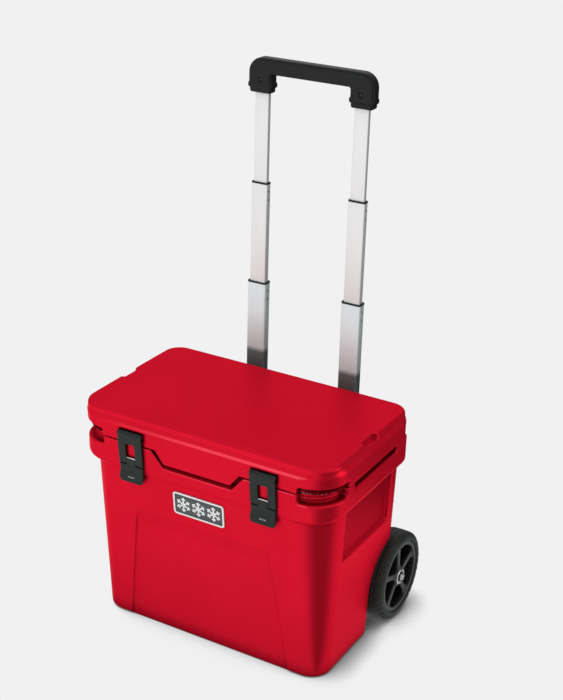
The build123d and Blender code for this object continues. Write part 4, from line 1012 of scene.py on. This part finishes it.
def soften(node, paint):
    """A CAD node in its own shape, with its material and smooth faces between its sharp edges."""
    piece = frame["nodes"][node]
    piece.data.materials.clear()
    piece.data.materials.append(paint)
    weld = piece.modifiers.new("weld", "WELD")
    weld.merge_threshold = 0.02 * MM
    for face in piece.data.polygons:
        face.use_smooth = True
    piece.data.set_sharp_from_angle(angle=math.radians(32))


for paint, names in (
    (FOAM, "body_foam lid_foam"),
    (LINER_WHITE, "body_liner lid_liner"),
    (BADGE_WHITE, "badge_rim"),
    (BADGE_DARK, "badge_plate"),
    (SEAL_GREY, "lid_gasket"),
    (BRACKET_BLACK, "hinge_leaves_body hinge_leaves_lid wheel_spacers outer_tube_collars "
                    "handle_upper_bracket handle_lower_bracket stage_1_glides stage_2_glides stage_3_glides"),
    (STEEL, "hinge_pins hinge_screws_body hinge_screws_lid latch_hinge_pins axle bracket_screws"),
    (ZINC, "latch_lever_pin_left latch_lever_pin_right axle_washers"),
    (DARK_STEEL, "axle_circlips stage_1_rivets stage_2_rivets grip_screws"),
    (NYLON, "wheel_bush_left wheel_bush_right"),
):
    for name in names.split():
        soften(name, paint)


# -------- floor, light and camera

FLOOR_SHADE = 0.882         # what the camera sees of the floor and of the space beyond it
FLOOR_SIZE = 30             # metres from the middle to each side
FLOOR_DROP = 0.0004         # keeps the floor just clear of the chest's underside
SHADOW_TILT = (-0.48, -0.62, 0.62)          # the shadow falls away from here
SHADOW_REACH, DEEP_REACH = 0.053, 0.17
# the floor's painted light on the chest: how far it is dimmed near the chest and behind it, and a dark sector
# that paints a dark reflection on its right front corner
GATHERED_REACH, MIRRORED_REACH = 0.35, 0.24
BEHIND_START, BEHIND_END = 0.40, 0.58       # nothing is mirrored from the floor behind the chest
SECTOR_MIDDLE, SECTOR_DARK, SECTOR_LIGHT = math.radians(-18), math.radians(27), math.radians(55)


def calculator(add, link):
    """A helper that adds a maths node for one or two numbers or sockets."""
    def calc(operation, *values):
        node = add("Math", operation=operation)
        for socket, value in zip(node.inputs, values):
            if isinstance(value, (int, float)):
                socket.default_value = value
            else:
                link(value, socket)
        return node.outputs["Value"]
    return calc


def floor_shadow(add, link, calc):
    """What the camera sees: an even tone with a painted soft shadow on one side and a deep painted shadow
    under the chest.
    """
    tilt = add("CombineXYZ")
    for axis, part in zip("XYZ", SHADOW_TILT):
        tilt.inputs[axis].default_value = part
    contact = add("AmbientOcclusion", samples=10, Distance=SHADOW_REACH)
    covered = add("AmbientOcclusion", samples=10, Distance=DEEP_REACH)
    link(tilt.outputs["Vector"], contact.inputs["Normal"])
    soft = ramp(add, link, calc("POWER", contact.outputs["AO"], 1.3), 0.0, FLOOR_SHADE, 0.12, 0.84)
    deep = ramp(add, link, covered.outputs["AO"], 0.35, 1.0, 0.20, 0.50)
    grain = ramp(add, link, noise(add, link, 300, 2), 0.99, 1.0, 0.3, 0.7)
    return calc("MULTIPLY", calc("MULTIPLY", soft, deep), grain)


def floor_light(add, link, calc):
    """Painted light from the floor, as the chest gathers it and as it mirrors it: less close by, and a dark
    sector, a painted dark reflection, that starts at its right front corner."""
    place = add("SeparateXYZ")
    link(add("NewGeometry").outputs["Position"], place.inputs["Vector"])
    x, y = place.outputs["X"], place.outputs["Y"]
    middle_y = (BASE_FRONT + BASE_REAR) / 2 * MM
    half_depth = (BASE_REAR - BASE_FRONT) / 2 * MM
    out_x = calc("MAXIMUM", calc("SUBTRACT", calc("ABSOLUTE", x), BASE_HALF * MM), 0)
    from_middle = calc("ABSOLUTE", calc("SUBTRACT", y, middle_y))
    out_y = calc("MAXIMUM", calc("SUBTRACT", from_middle, half_depth), 0)
    away = calc("SQRT", calc("ADD", calc("MULTIPLY", out_x, out_x), calc("MULTIPLY", out_y, out_y)))
    gathered = ramp(add, link, away, 0.62, 1.0, 0.0, GATHERED_REACH)
    bearing = calc("ARCTAN2", calc("SUBTRACT", y, BASE_FRONT * MM), calc("SUBTRACT", x, BASE_HALF * MM))
    off = calc("ABSOLUTE", calc("SUBTRACT", bearing, SECTOR_MIDDLE))
    sector = ramp(add, link, off, 0.0, 1.0, SECTOR_DARK, SECTOR_LIGHT)
    behind = ramp(add, link, y, 1.0, 0.0, BEHIND_START, BEHIND_END)
    near = ramp(add, link, away, 0.68, 1.08, 0.0, MIRRORED_REACH)
    return gathered, calc("MULTIPLY", calc("MULTIPLY", near, behind), sector)


def build_floor():
    """A pale paper floor that glows evenly apart from its painted shadow, so that the chest's colour doesn't
    spill on it; its glow is painted light on the chest.
    """
    mesh = bmesh.new()
    bmesh.ops.create_grid(mesh, x_segments=2, y_segments=2, size=FLOOR_SIZE)
    piece = finish_bmesh(mesh, "floor")
    piece.location.z = -FLOOR_DROP
    made, link, shader, add = material("floor_paper")
    calc = calculator(add, link)
    seen = floor_shadow(add, link, calc)
    gathered, mirrored_light = floor_light(add, link, calc)
    path = add("LightPath")

    def choose(ray, yes, no):
        mix = add("Mix", data_type="FLOAT")
        link(path.outputs[ray], mix.inputs["Factor"])
        link(no, mix.inputs["A"])
        link(yes, mix.inputs["B"])
        return mix.outputs["Result"]

    glow = choose("Is Camera Ray", seen, choose("Is Glossy Ray", mirrored_light, gathered))
    shader.inputs["Base Color"].default_value = (0, 0, 0, 1)
    shader.inputs["Specular IOR Level"].default_value = 0.0
    shader.inputs["Emission Color"].default_value = (1, 1, 1, 1)
    link(glow, shader.inputs["Emission Strength"])
    piece.data.materials.append(made)
    return piece


DARK_SKY = (0.48, 0.86, 0.17)               # the sky that the chest mirrors is dim this way
DARK_SKY_EDGE, DARK_SKY_FULL, DARK_SKY_STRENGTH = 0.72, 0.96, 0.12


def build_world():
    """An even white sky for the shading, and one with a dim part for reflections."""
    world = bpy.data.worlds.new("studio")
    world.use_nodes = True
    tree = world.node_tree
    link, add = tree.links.new, node_adder(tree)
    sky = tree.nodes["Background"]
    sky.inputs["Color"].default_value = (1, 1, 1, 1)
    path = add("LightPath")
    backdrop = ramp(add, link, path.outputs["Is Camera Ray"], 1.0, FLOOR_SHADE, 0, 1)
    link(backdrop, sky.inputs["Strength"])
    ahead = add("VectorMath", operation="DOT_PRODUCT")
    ahead.inputs[1].default_value = DARK_SKY
    link(add("TexCoord").outputs["Generated"], ahead.inputs[0])
    fall = ramp(add, link, ahead.outputs["Value"], 1.0, DARK_SKY_STRENGTH, DARK_SKY_EDGE, DARK_SKY_FULL)
    mirrored_sky = add("Background")
    link(fall, mirrored_sky.inputs["Strength"])
    mix = add("MixShader")
    link(path.outputs["Is Glossy Ray"], mix.inputs["Fac"])
    link(sky.outputs["Background"], mix.inputs[1])
    link(mirrored_sky.outputs["Background"], mix.inputs[2])
    link(mix.outputs["Shader"], tree.nodes["World Output"].inputs["Surface"])
    bpy.context.scene.world = world


def build_light(name, place, target, size, power, skip):
    """A soft box that lights the object and leaves the floor even."""
    data = bpy.data.lights.new(name, "AREA")
    data.shape = "RECTANGLE"
    data.size, data.size_y = size
    data.energy = power
    lamp = bpy.data.objects.new(name, data)
    bpy.context.scene.collection.objects.link(lamp)
    lamp.location = place
    lamp.rotation_euler = (Vector(target) - Vector(place)).to_track_quat("-Z", "Y").to_euler()
    lamp.visible_camera = False
    lamp.light_linking.receiver_collection = skip


VIEW_AZIMUTH, VIEW_ELEVATION, VIEW_ROLL = (math.radians(angle) for angle in (29.43, 23.48, 1.73))
VIEW_TARGET, VIEW_DISTANCE = (0.05378, 0.0313, 0.5444), 2.4672
VIEW_LENS, VIEW_SENSOR = 72.41, 36


def build_camera():
    """The camera at the photograph's viewing angle."""
    data = bpy.data.cameras.new("camera")
    data.sensor_width = VIEW_SENSOR
    data.lens = VIEW_LENS
    data.clip_end = 100
    camera = bpy.data.objects.new("camera", data)
    bpy.context.scene.collection.objects.link(camera)
    turn = Matrix.Rotation(VIEW_AZIMUTH, 4, "Z") @ Matrix.Rotation(math.pi / 2 - VIEW_ELEVATION, 4, "X")
    turn = turn @ Matrix.Rotation(VIEW_ROLL, 4, "Z")
    away = Matrix.Translation((0, 0, VIEW_DISTANCE))
    camera.matrix_world = Matrix.Translation(VIEW_TARGET) @ turn @ away
    bpy.context.scene.camera = camera


floor = build_floor()
floor_only = bpy.data.collections.new("floor_only")
floor_only.objects.link(floor)
floor_only.collection_objects[0].light_linking.link_state = "EXCLUDE"
build_world()
build_light("front_fill", place=(-0.8, -2.2, 0.7), target=(0, 0, 0.2), size=(1.0, 1.0), power=3,
            skip=floor_only)
build_light("side_fill", place=(2.2, 0.9, 0.4), target=(0.2, 0, 0.15), size=(1.2, 0.8), power=8,
            skip=floor_only)
build_camera()
bpy.context.scene.view_settings.view_transform = "Standard"
